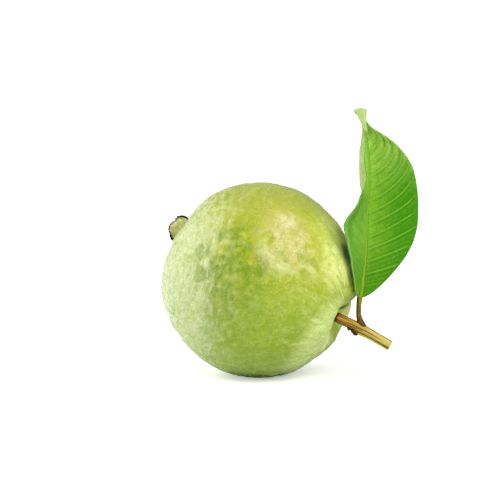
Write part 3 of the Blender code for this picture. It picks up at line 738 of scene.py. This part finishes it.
def twig_bark():
    """Smooth golden-brown bark, reddish at the fruit and straw at the cut, with long dark fibres, and
    painted shade where it sinks into the stalk hollow.
    """
    bark = Finish("twig bark", roughness=0.55, specular=0.2)
    along = bark.kept("along")
    fibre_place = bark.kept("fibre", "Vector")
    fibre = bark.cloud(0.30, place=fibre_place, detail=4, roughness=0.65)
    coarse = bark.cloud(0.95, place=fibre_place, detail=2)
    bark.ground(bark.band(along, 0.12, 0.34), (164, 100, 32), (198, 162, 62))
    bark.coat(bark.band(along, 0.30, 0.85), (216, 195, 106))
    bark.tint(coarse, (0.50, 0.38, 0.55, (220, 204, 100)), (0.50, 0.60, 0.8, (126, 78, 24)))
    bark.tint(fibre, (0.50, 0.66, 0.6, (98, 62, 20)))
    strip = bark.kept("strip")
    bark.coat(bark.times(strip, 0.8), (216, 214, 62))
    bark.coat(bark.kept("groove"), (74, 46, 16))
    # Painted shade: near black where the twig sinks into the stalk hollow.
    bark.tint(along, (0.13, 0.07, 0.9, (40, 22, 8)))
    cut = bark.kept("cut")
    rings = bark.cloud(0.5, detail=3)
    wood = bark.mix(bark.band(rings, 0.3, 0.7), paint(226, 206, 146), paint(196, 168, 104))
    wood = bark.mix(bark.band(cut, 1.75, 1.95), wood, paint(150, 112, 60))
    bark.coat(bark.band(cut, 0.9, 1), wood)
    normal = bark.bump(fibre, 0.22)
    normal = bark.bump(bark.cloud(0.25, detail=3), 0.05, normal)
    bark.use(Base_Color=bark.colour, Normal=normal)
    return bark.material


twig_start = seat(STALK_POLE, GAP)
twig_line = TWIG_END - twig_start
twig_along = twig_line.normalized()
twig_front = Vector((0, -1, 0))
twig_front = (twig_front - twig_along * twig_front.dot(twig_along)).normalized()
twig_up = twig_front.cross(twig_along)
twig_up = -twig_up if twig_up.z < 0 else twig_up
twig_points = []
twig_marks = {"along": [], "strip": [], "groove": [], "cut": [], "fibre": []}


def twig_middle(share):
    """The middle of the twig at a share of its length."""
    bow = Vector((0, 0, TWIG_BOW * math.sin(math.pi * share)))
    return twig_start.lerp(TWIG_END, share) + bow


def from_strip(share, degrees):
    """How far a turn is from the ridge behind the scar, and how much of the ridge is there."""
    off = (degrees - STRIP_TURN + 180) % 360 - 180
    return off, smooth(share, SCAR_AT, SCAR_AT + STRIP_START)


def twig_reach(share, degrees):
    """The twig's radius at a share of its length and a turn from its front towards its top."""
    angle = math.radians(degrees)
    swell = 1 + NODE_SWELL * bell(share - NODE_AT, NODE_REACH)
    reach = TWIG_RADIUS * swell * (1 + TWIG_RIDGE * abs(math.cos(2 * angle)) ** 4)
    off, held = from_strip(share, degrees)
    reach += STRIP_RISE * held * bell(off, STRIP_WIDTH)
    reach -= GROOVE_DEPTH * held * bell(off - GROOVE_TURN, 8)
    return reach + BARK_WEAR * ring_noise(angle, 3, 9 * share)


for ring in range(TWIG_RINGS + CUT_RINGS):
    share = min(ring / (TWIG_RINGS - 1), 1)
    inward = max(ring - TWIG_RINGS + 1, 0) / CUT_RINGS
    for side in range(TWIG_SIDES):
        degrees = 360 * side / TWIG_SIDES
        angle = math.radians(degrees)
        reach = twig_reach(share, degrees) * (1 - inward)
        hollow = PITH_DEPTH * (smooth(1 - inward, PITH_SHARE * 0.6, PITH_SHARE * 1.4) - 1)
        point = twig_middle(share) + (twig_front * math.cos(angle) + twig_up * math.sin(angle)) * reach
        twig_points.append(point + twig_along * hollow)
        off, held = from_strip(share, degrees)
        twig_marks["along"].append(share)
        twig_marks["strip"].append(held * bell(off, STRIP_WIDTH))
        groove = held * bell(off - GROOVE_TURN, GROOVE_WIDTH)
        groove += GROOVE_FAINTNESS * bell(degrees - FRONT_GROOVE, GROOVE_WIDTH)
        groove += GROOVE_FAINTNESS * (1 - held) * bell(degrees - LOW_GROOVE, GROOVE_WIDTH)
        twig_marks["groove"].append(min(groove, 1))
        twig_marks["cut"].append(1 + inward if inward else 0)
        twig_marks["fibre"].extend((2.2 * math.cos(angle), 2.2 * math.sin(angle), 1.4 * share))
twig_faces = grid_faces(TWIG_RINGS + CUT_RINGS, TWIG_SIDES, closed=True)
twig_faces.append(tuple(range(TWIG_SIDES)))
last_ring = (TWIG_RINGS + CUT_RINGS - 1) * TWIG_SIDES
twig_faces.append(tuple(range(last_ring, last_ring + TWIG_SIDES)))
make_piece("guava_twig", twig_points, twig_faces, "twig_bark", "twig",
           finish=twig_bark(), marks=twig_marks)


# Leaf scar
# The corky scar and the dead bud under the twig's node, where the opposite leaf fell.
# It is a small cluster of rough lumps, sunk into the bark.
SCAR_LUMPS = (
    (0.7 * MM, 1),
    (-2.5 * MM, 0.6),
    (2 * MM, 0.62),
    (-0.5 * MM, 0.7),
    (-1.9 * MM, 0.42),
)


def scar_cork():
    """Dark cork with paler edges."""
    cork = Finish("scar cork", roughness=0.8, specular=0.2)
    cork.ground(cork.band(cork.cloud(0.7, detail=3), 0.42, 0.7), (34, 18, 8), (112, 80, 30))
    cork.use(Base_Color=cork.colour, Normal=cork.bump(cork.cloud(0.4, detail=4), 0.25))
    return cork.material


def add_object(name, work):
    """An object with the mesh that has been worked on, linked to the scene."""
    mesh = bpy.data.meshes.new(name)
    work.to_mesh(mesh)
    work.free()
    made = bpy.data.objects.new(name, mesh)
    bpy.context.scene.collection.objects.link(made)
    return made


scar_work = bmesh.new()
scar_foot = twig_middle(SCAR_AT) - twig_up * 1.02 * TWIG_RADIUS + twig_front * 0.16 * TWIG_RADIUS
for number, (shift, size) in enumerate(SCAR_LUMPS):
    made = bmesh.ops.create_icosphere(scar_work, subdivisions=4, radius=SCAR_RADIUS * size)
    for vertex in made["verts"]:
        rough = noise.noise(vertex.co / MM * 1.3 + Vector((number * 3.1, 0, 0)))
        vertex.co *= 1 + 0.35 * rough
        aside = twig_front * (0.9 * MM * math.sin(2.4 * number))
        vertex.co += scar_foot + twig_along * shift + aside
scar = add_object("guava_leaf_scar", scar_work)
scar.data.shade_smooth()
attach(scar, "root")
scar.data.materials.append(scar_cork())


# Petiole
# The leaf's stalk: a short green stem that swells where it joins the node, grooved on its upper side.
# It runs on into the midrib without a joint.
PETIOLE_ROUTE = (
    (47.2, -14.2, 20, 0.8),
    (46.5, -13.9, 21.6, 1.6),
    (45.6, -13.4, 23.6, 1.85),
    (44.9, -13.1, 25.5, 1.6),
    (44.3, -12.9, 27.3, 1.3),
    (44, -12.7, 29.6, 1.15),
    (44, -12.8, 32.3, 1.12),
    (44.15, -13.1, 34.8, 1.2),
    (44.35, -13.4, 36.6, 1.25),
    (44.6, -13.3, 38.6, 1),
)
PETIOLE_STEPS = 14
PETIOLE_SIDES = 48


def smooth_route(knots, steps):
    """Points of a Catmull-Rom curve through the knots, with steps points for each stretch."""
    ends = [knots[0] * 2 - knots[1], *knots, knots[-1] * 2 - knots[-2]]
    route = []
    for a, b, c, d in zip(ends, ends[1:], ends[2:], ends[3:]):
        for step in range(steps):
            t = step / steps
            route.append(
                0.5 * ((2 * b) + (c - a) * t + (2 * a - 5 * b + 4 * c - d) * t * t
                       + (3 * b - 3 * c + d - a) * t ** 3)
            )
    route.append(knots[-1].copy())
    return route


def petiole_skin():
    """Olive-brown skin, darker in the axil and yellow-green up towards the blade, with painted shade on
    its left side.
    """
    stem = Finish("petiole skin", roughness=0.5, specular=0.2)
    height = stem.axis("Z")
    fibre = stem.cloud(0.5, place=stem.stretch((1, 1, 0.15)), detail=4, roughness=0.6)
    stem.ground(stem.band(height, 26, 37.5), (122, 92, 14), (142, 140, 12))
    stem.tint(fibre, (0.44, 0.66, 0.75, (78, 62, 12)))
    # Painted shade: darker olive on the petiole's left side, away from the key lamp.
    side = stem.axis("X")
    stem.tint(side, (44.4, 43.2, 0.75, (58, 54, 12)))
    stem.tint(height, (30, 24, 0.6, (70, 44, 12)), (24.6, 22.6, 0.7, (46, 26, 8)))
    stem.use(Base_Color=stem.colour, Normal=stem.bump(fibre, 0.15))
    return stem.material


petiole_points = []
petiole_faces = []
petiole_knots = [Vector(row[:3]) * MM for row in PETIOLE_ROUTE]
petiole_sizes = [Vector((row[3], 0, 0)) * MM for row in PETIOLE_ROUTE]
petiole_route = smooth_route(petiole_knots, PETIOLE_STEPS)
petiole_radii = [size.x for size in smooth_route(petiole_sizes, PETIOLE_STEPS)]
add_thread(petiole_points, petiole_faces, petiole_route, petiole_radii, PETIOLE_SIDES)
make_piece("guava_petiole", petiole_points, petiole_faces, "petiole_skin", "petiole",
           finish=petiole_skin(), marks={})


# Leaf blade
# One leathery leaf that stands up from the node, glossy green above and pale and matt below.
# It grew folded along its midrib, pleated between the side veins, and its tip has turned over.
MIDRIB_ROUTE = (
    (44.4, -13.5, 36.8),
    (45.2, -13.4, 43),
    (46.4, -11.7, 52.8),
    (47.15, -10, 62.6),
    (47.7, -9, 73),
    (48.4, -8.2, 84),
    (48.4, -8, 94),
    (47.7, -8.4, 104),
    (46, -9.2, 112.5),
    (44.9, -9.9, 116.2),
    (44.45, -10.3, 118.2),
)
CREST_RADIUS = 1.9 * MM
CREST_TURN = 150
TIP_LENGTH = 9.5 * MM
BLADE_THICKNESS = 0.42 * MM
SIDE_VEINS = 14
FIRST_VEIN = 4.6 * MM
LAST_VEIN = 80.5 * MM
VEIN_RISE = 17 * MM
PLEAT_HEIGHT = -0.75 * MM
PLEAT_ROOM = 8 * MM
RIB_RISE = 0.30
RIB_KEEL = 1.05
VEIN_WIDTH = 0.28
VEIN_CREST = 0.05 * MM
UNDER_VEIN_CREST = 0.20 * MM
FOLDED_VEIN_STRENGTH = 0.35
MARGIN_CALM = 0.45
MARGIN_THINNING = 0.55
KEEL_LOSS = 0.9
COLUMN_CROWDING = 1.3
VEIN_STOPS = (0, 0.03, 0.07, 0.13, 0.21, 0.30, 0.40, 0.50, 0.60, 0.70, 0.79, 0.87, 0.93, 0.97)
RIGHT_COLUMNS = 52
LEFT_COLUMNS = 50
TIP_ROWS = 64

# Blade's half width (mm) at distances along the midrib (mm)
HALF_WIDTH = (
    (0, 1.3),
    (1, 3.1),
    (3.2, 5.6),
    (7, 9.2),
    (12, 13),
    (20, 18.4),
    (27, 21.3),
    (35, 22.5),
    (41, 22.3),
    (55, 20),
    (60, 17.9),
    (66, 13.2),
    (71, 7.9),
    (74.5, 4.4),
    (78, 2.6),
    (83, 2.7),
    (86, 2.8),
    (89, 2.1),
    (92.5, 1.3),
    (98, 0.4),
)

# Fold of the blade (degrees) at distances along the midrib (mm):
# the right half's turn, and the left half's turn at the midrib and at its margin
FOLD = (
    (0, 14, 54, 46),
    (6, 13, 69, 54),
    (13, 12, 70, 56),
    (22, 10, 70, 54),
    (31, 9, 68.5, 50),
    (34, 8, 71, 54),
    (36.5, 8, 76, 59.5),
    (39, 8, 80, 64),
    (42, 8, 82, 68),
    (44.5, 8, 79, 74),
    (47, 8, 65, 92),
    (50, 8, 50, 112),
    (55, 8, 42, 123),
    (61, 10, 40, 118),
    (66, 13, 31, 127),
    (72, 26, 30, 132),
    (76, 48, 44, 112),
    (80.5, 62, 58, 84),
    (83.5, 14, 14, 18),
    (87, 12, 12, 14),
    (98, 32, 32, 32),
)

# Midrib's half width (mm) at distances along it (mm)
MIDRIB_WIDTH = (
    (0, 1.4),
    (12, 1.05),
    (26, 0.7),
    (40, 0.45),
    (60, 0.4),
    (82, 0.25),
    (98, 0.15),
)


def along_table(table, place, column):
    """A column of the table at place, by a cubic through its rows that never overshoots."""
    last = len(table) - 1
    place = min(max(place, table[0][0]), table[last][0])
    row = max(i for i in range(last) if table[i][0] <= place)

    def slope(i):
        return (table[i + 1][column] - table[i][column]) / (table[i + 1][0] - table[i][0])

    def tangent(i):
        if i == 0:
            return slope(0)
        if i == last:
            return slope(last - 1)
        before, after = slope(i - 1), slope(i)
        return 0 if before * after <= 0 else 2 * before * after / (before + after)

    width = table[row + 1][0] - table[row][0]
    t = (place - table[row][0]) / width
    start, end = table[row][column], table[row + 1][column]
    return (
        start * (1 + 2 * t) * (1 - t) ** 2
        + end * t * t * (3 - 2 * t)
        + width * t * (1 - t) * (tangent(row) * (1 - t) - tangent(row + 1) * t)
    )


def midrib_route():
    """The midrib: up from the petiole, over the crest and down the folded tip."""
    route = smooth_route([Vector(point) * MM for point in MIDRIB_ROUTE], 8)
    up = (route[-1] - route[-2]).normalized()
    front = Vector((0, -1, 0))
    front = (front - up * front.dot(up)).normalized()
    top = route[-1]
    steps = 14
    for step in range(1, steps + 1):
        angle = math.radians(CREST_TURN * step / steps)
        route.append(top + (up * math.sin(angle) + front * (1 - math.cos(angle))) * CREST_RADIUS)
    end = math.radians(CREST_TURN)
    down = up * math.cos(end) + front * math.sin(end)
    last = route[-1].copy()
    for step in range(1, steps + 1):
        route.append(last + down * (TIP_LENGTH * step / steps))
    return route


blade_route = midrib_route()
blade_reach = [0]
for before, after in zip(blade_route, blade_route[1:]):
    blade_reach.append(blade_reach[-1] + (after - before).length)


def midrib_at(distance):
    """The point and the direction at a distance along the midrib."""
    distance = min(max(distance, 0), blade_reach[-1])
    step = min(max(bisect.bisect_right(blade_reach, distance) - 1, 0), len(blade_route) - 2)
    share = (distance - blade_reach[step]) / (blade_reach[step + 1] - blade_reach[step])
    point = blade_route[step].lerp(blade_route[step + 1], share)
    before = blade_route[max(step - 1, 0)]
    after = blade_route[min(step + 2, len(blade_route) - 1)]
    here = (blade_route[step + 1] - before).normalized()
    there = (after - blade_route[step]).normalized()
    return point, here.lerp(there, share).normalized()


def mean_turn(first, last):
    """The mean cosine and sine of an angle that grows evenly from first to last, in radians."""
    if abs(last - first) < 1e-4:
        return math.cos(first), math.sin(first)
    grown = last - first
    return (math.sin(last) - math.sin(first)) / grown, (math.cos(first) - math.cos(last)) / grown


def blade_place(start, share, left):
    """The middle of the blade at a share of the way from midrib to margin, its normal and marks."""
    span = LAST_VEIN + 3 * MM
    rise = VEIN_RISE * math.sin(math.pi * min(start / span, 1)) * (0.6 * share + 0.4 * share ** 2)
    distance = start + rise
    middle, along = midrib_at(distance)
    across = Vector((1, 0, 0))
    across = (across - along * across.dot(along)).normalized()
    face = across.cross(along)
    place = distance / MM
    width = along_table(HALF_WIDTH, place, 1) * MM
    if left:
        first = math.radians(along_table(FOLD, place, 2))
        last = first + (math.radians(along_table(FOLD, place, 3)) - first) * share
        cosine, sine = mean_turn(first, last)
        out = (face * sine - across * cosine) * (width * share)
        normal = across * math.sin(last) + face * math.cos(last)
    else:
        turn = math.radians(along_table(FOLD, place, 1))
        out = (across * math.cos(turn) + face * math.sin(turn)) * (width * share)
        normal = face * math.cos(turn) - across * math.sin(turn)
    phase = (start - FIRST_VEIN) * SIDE_VEINS / (LAST_VEIN - FIRST_VEIN)
    return middle + out, normal, width, distance, phase


def leaf_skin():
    """Green blade with pale veins: deeper towards its margin, and lighter by the midrib and at the tip
    partly as painted sheen; its folded left half has painted sheen, shade and a reflection.
    """
    leaf = Finish("leaf", specular=0.08)
    along = leaf.kept("along")
    phase = leaf.kept("phase")
    out = leaf.kept("out")
    share = leaf.kept("share")
    under = leaf.kept("under")
    # Lighter by the midrib and up towards the tip: partly the blade's own tone, partly painted sheen.
    leaf.ground(leaf.band(out, 1, 16), (134, 182, 44), (62, 142, 0))
    leaf.tint(along, (44, 74, 0.95, (182, 222, 94)), (30, 6, 0.8, (58, 132, 0)))
    strength = leaf.kept("vein_strength")
    # Painted sheen on the folded left half, a painted shade band across it and a painted reflection
    # along its rolled margin.
    folded = leaf.times(leaf.band(strength, 0.9, 0.5), leaf.band(along, 10, 30, 0.25, 0.75))
    leaf.coat(folded, (142, 190, 76))
    left_shade_band = leaf.times(leaf.band(share, 0.62, 0.80), leaf.band(along, 16, 30))
    left_shade_band = leaf.times(left_shade_band, leaf.band(strength, 0.9, 0.5, 0, 0.7))
    leaf.coat(left_shade_band, (70, 136, 26))
    left_margin_reflection = leaf.times(leaf.band(share, 0.86, 0.93), leaf.band(strength, 0.9, 0.5, 0, 0.7))
    leaf.coat(left_margin_reflection, (150, 194, 104))
    cloudy = leaf.cloud(6, detail=3)
    leaf.tint(cloudy, (0.4, 0.7, 0.3, (64, 146, 4)))
    fraction = leaf.math("FRACT", phase)
    shadowed = leaf.times(leaf.band(fraction, 0.62, 0.97), leaf.band(out, 0.5, 4))
    shadowed = leaf.times(shadowed, leaf.band(strength, 0.5, 0.9, 0.5, 1))
    leaf.coat(leaf.times(shadowed, 0.55), (48, 122, 2))
    net = leaf.cells(1.5, feature="DISTANCE_TO_EDGE")
    leaf.tint(net, (0.12, 0, 0.25, (140, 190, 70)))
    fine = leaf.cloud(0.8, detail=4)
    leaf.tint(fine, (0.35, 0.65, 0.35, (58, 136, 8)))
    nearest = leaf.math("PINGPONG", phase, 0.5)
    fade = leaf.times(leaf.band(share, 1, 0.80), strength)
    line = leaf.times(leaf.band(nearest, 0.085, 0.015), fade)
    leaf.coat(leaf.times(line, 0.45), (158, 204, 66))
    between = leaf.math("PINGPONG", leaf.times(phase, 3), 0.5)
    fine_line = leaf.band(between, 0.16, 0.03)
    fine_line = leaf.times(fine_line, leaf.band(along, 44, 14, 0.1, 0.32))
    leaf.coat(leaf.times(fine_line, fade), (140, 190, 60))
    rib = leaf.kept("rib")
    rib_colour = leaf.mix(leaf.band(along, 40, 12), paint(132, 188, 56), paint(152, 174, 44))
    leaf.tint(rib, (0.03, 0.25, 0.6, (70, 122, 2)))
    leaf.coat(leaf.band(rib, 0.35, 0.75, 0, 0.8), rib_colour)
    green = leaf.colour
    leaf.ground(leaf.band(cloudy, 0.4, 0.7), (176, 200, 122), (148, 178, 92))
    leaf.tint(net, (0.10, 0, 0.4, (208, 224, 160)))
    leaf.coat(leaf.times(line, 0.4), (206, 224, 150))
    leaf.tint(rib, (0.3, 0.8, 0.6, (158, 182, 100)))
    leaf.colour = leaf.mix(leaf.band(under, 0.4, 0.6), green, leaf.colour)
    leaf.tint(share, (0.975, 1, 0.6, (86, 128, 38)))
    normal = leaf.bump(net, 0.12)
    normal = leaf.bump(fine, 0.08, normal)
    roughness = leaf.band(under, 0.4, 0.6, 0.40, 0.75)
    leaf.use(Base_Color=leaf.colour, Normal=normal, Roughness=roughness)
    return leaf.material


vein_gap = (LAST_VEIN - FIRST_VEIN) / SIDE_VEINS
blade_rows = [FIRST_VEIN * step / 8 for step in range(8)]
for vein in range(SIDE_VEINS):
    blade_rows += [FIRST_VEIN + vein_gap * (vein + stop) for stop in VEIN_STOPS]
tip_length = blade_reach[-1] - LAST_VEIN
blade_rows += [LAST_VEIN + tip_length * step / TIP_ROWS for step in range(TIP_ROWS + 1)]
columns = [-((LEFT_COLUMNS - step) / LEFT_COLUMNS) ** COLUMN_CROWDING for step in range(LEFT_COLUMNS)]
columns += [(step / RIGHT_COLUMNS) ** COLUMN_CROWDING for step in range(RIGHT_COLUMNS + 1)]
upper_points = []
lower_points = []
blade_marks = {"along": [], "phase": [], "out": [], "share": [], "rib": [], "vein_strength": []}
for start in blade_rows:
    crest = (blade_place(start, 0, True)[1] + blade_place(start, 0, False)[1]).normalized()
    for column in columns:
        share = abs(column)
        place, normal, width, distance, phase = blade_place(start, share, column < 0)
        out = share * width
        pleated = 0 < phase < SIDE_VEINS
        pleat = math.sin(math.pi * phase) ** 2 if pleated else 0
        room = min(width / PLEAT_ROOM, 1)
        relief = PLEAT_HEIGHT * pleat * room * smooth(share, 0, 0.2)
        relief *= 1 - MARGIN_CALM * smooth(share, 0.8, 1)
        relief *= 0.6 - 0.35 * smooth(distance / MM, 40, 48) if column < 0 else 1
        nearest = abs(phase - round(phase)) * vein_gap / MM if pleated else 9
        vein = bell(nearest, VEIN_WIDTH) * smooth(share, 0, 0.04)
        vein *= 1 - smooth(share, 0.7, 0.97)
        rib_width = along_table(MIDRIB_WIDTH, distance / MM, 1) * MM
        rib = bell(out, rib_width)
        normal = crest.lerp(normal, smooth(out, 0, 1.6 * rib_width)).normalized()
        thin = 1 - MARGIN_THINNING * smooth(share, 0.93, 1)
        half = 0.5 * BLADE_THICKNESS * thin
        top = relief + half + RIB_RISE * rib_width * rib + VEIN_CREST * vein
        keel = RIB_KEEL - KEEL_LOSS * smooth(distance / MM, 74, 81)
        bottom = relief - half - keel * rib_width * rib - UNDER_VEIN_CREST * vein * room
        upper_points.append(place + normal * top)
        lower_points.append(place + normal * bottom)
        strength = FOLDED_VEIN_STRENGTH if column < 0 else 1
        marks = (distance / MM, phase if pleated else 0.5, out / MM, share, rib, strength)
        for values, value in zip(blade_marks.values(), marks):
            values.append(value)
count = len(columns)
rows = len(blade_rows)
upper_faces = grid_faces(rows, count, closed=False)
size = len(upper_points)
blade_faces = upper_faces + [tuple(size + corner for corner in reversed(face)) for face in upper_faces]
edge_loop = list(range(count)) + [row * count + count - 1 for row in range(1, rows)]
edge_loop += [(rows - 1) * count + column for column in range(count - 2, -1, -1)]
edge_loop += [row * count for row in range(rows - 2, 0, -1)]
for here, there in zip(edge_loop, edge_loop[1:] + edge_loop[:1]):
    blade_faces.append((here, size + here, size + there, there))
for values in blade_marks.values():
    values += values
blade_marks["under"] = [0.0] * size + [1.0] * size
make_piece("guava_leaf_blade", upper_points + lower_points, blade_faces, "leaf", "leaf_blade",
           finish=leaf_skin(), marks=blade_marks)


# Floor, lights and camera
# A plain white table in a white room. A large soft lamp stands at the upper right in front, a tall
# one at the left and a small one above it. The camera looks a little down on the fruit.
FLOOR_SIZE = 6
ROOM_FRONT = 0.24
ROOM_BACK = 0.55
ROOM_LEFT = 1.5
ROOM_RIGHT = 0.35
CAMERA_PLACE = Vector((-0.00405, -0.62189, 0.11095))
CAMERA_PITCH = 85
CAMERA_LENS = 100

# Lamps: the way to each from the fruit, its distance, width and height (m), and its power (W)
LAMPS = {
    "key lamp": ((0.45, -0.66, 0.57), 0.75, 0.80, 0.42, 5),
    "fill lamp": ((-0.90, 0.28, 0.24), 0.8, 0.18, 0.7, 4.2),
    "top lamp": ((-0.74, 0.18, 0.65), 0.8, 0.24, 0.24, 1.1),
}

floor_work = bmesh.new()
bmesh.ops.create_grid(floor_work, x_segments=1, y_segments=1, size=FLOOR_SIZE)
floor = add_object("floor", floor_work)
table = Finish("white table", roughness=0.9, specular=0.1)
table_seen = table.node("ShaderNodeLightPath").outputs["Is Camera Ray"]
from_middle = table.node("ShaderNodeVectorMath", {0: table.place}, operation="LENGTH")
whiter = table.band(from_middle.outputs["Value"], 40, 400, 0.42, 0.95)
table.use(Base_Color=paint(246, 246, 246), Emission_Strength=table.times(table_seen, whiter))
table.use(Emission_Color=(1, 1, 1, 1))
floor.data.materials.append(table.material)

for name, (way, distance, width, height, power) in LAMPS.items():
    light = bpy.data.lights.new(name, "AREA")
    light.shape = "RECTANGLE"
    light.size = width
    light.size_y = height
    light.energy = power
    lamp = bpy.data.objects.new(name, light)
    lamp.location = FRUIT_CENTRE + Vector(way).normalized() * distance
    lamp.rotation_euler = Vector(way).to_track_quat("Z", "Y").to_euler()
    bpy.context.scene.collection.objects.link(lamp)

world = bpy.data.worlds.new("white room")
world.use_nodes = True
room = world.node_tree
room_place = room.nodes.new("ShaderNodeTexCoord").outputs["Generated"]
room_axes = room.nodes.new("ShaderNodeSeparateXYZ")
room.links.new(room_place, room_axes.inputs[0])
room_total = room.nodes.new("ShaderNodeMath")
room_total.operation = "MULTIPLY"
for number, (axis, low, high) in enumerate((("Y", ROOM_FRONT, ROOM_BACK), ("X", ROOM_LEFT, ROOM_RIGHT))):
    ramp = room.nodes.new("ShaderNodeMapRange")
    for name, value in (("From Min", -1), ("From Max", 1), ("To Min", low), ("To Max", high)):
        ramp.inputs[name].default_value = value
    room.links.new(room_axes.outputs[axis], ramp.inputs["Value"])
    room.links.new(ramp.outputs["Result"], room_total.inputs[number])
seen = room.nodes.new("ShaderNodeLightPath").outputs["Is Camera Ray"]
room_mix = room.nodes.new("ShaderNodeMix")
room.links.new(seen, room_mix.inputs[0])
room.links.new(room_total.outputs[0], room_mix.inputs[2])
room_mix.inputs[3].default_value = 1.05
room.links.new(room_mix.outputs[0], room.nodes["Background"].inputs["Strength"])
room.nodes["Background"].inputs["Color"].default_value = (1, 1, 1, 1)
bpy.context.scene.world = world
bpy.context.scene.view_settings.view_transform = "Standard"

camera_data = bpy.data.cameras.new("camera")
camera_data.lens = CAMERA_LENS
camera_data.clip_start = 0.01
camera = bpy.data.objects.new("camera", camera_data)
camera.location = CAMERA_PLACE
camera.rotation_euler = Euler((math.radians(CAMERA_PITCH), 0, 0))
bpy.context.scene.collection.objects.link(camera)
bpy.context.scene.camera = camera
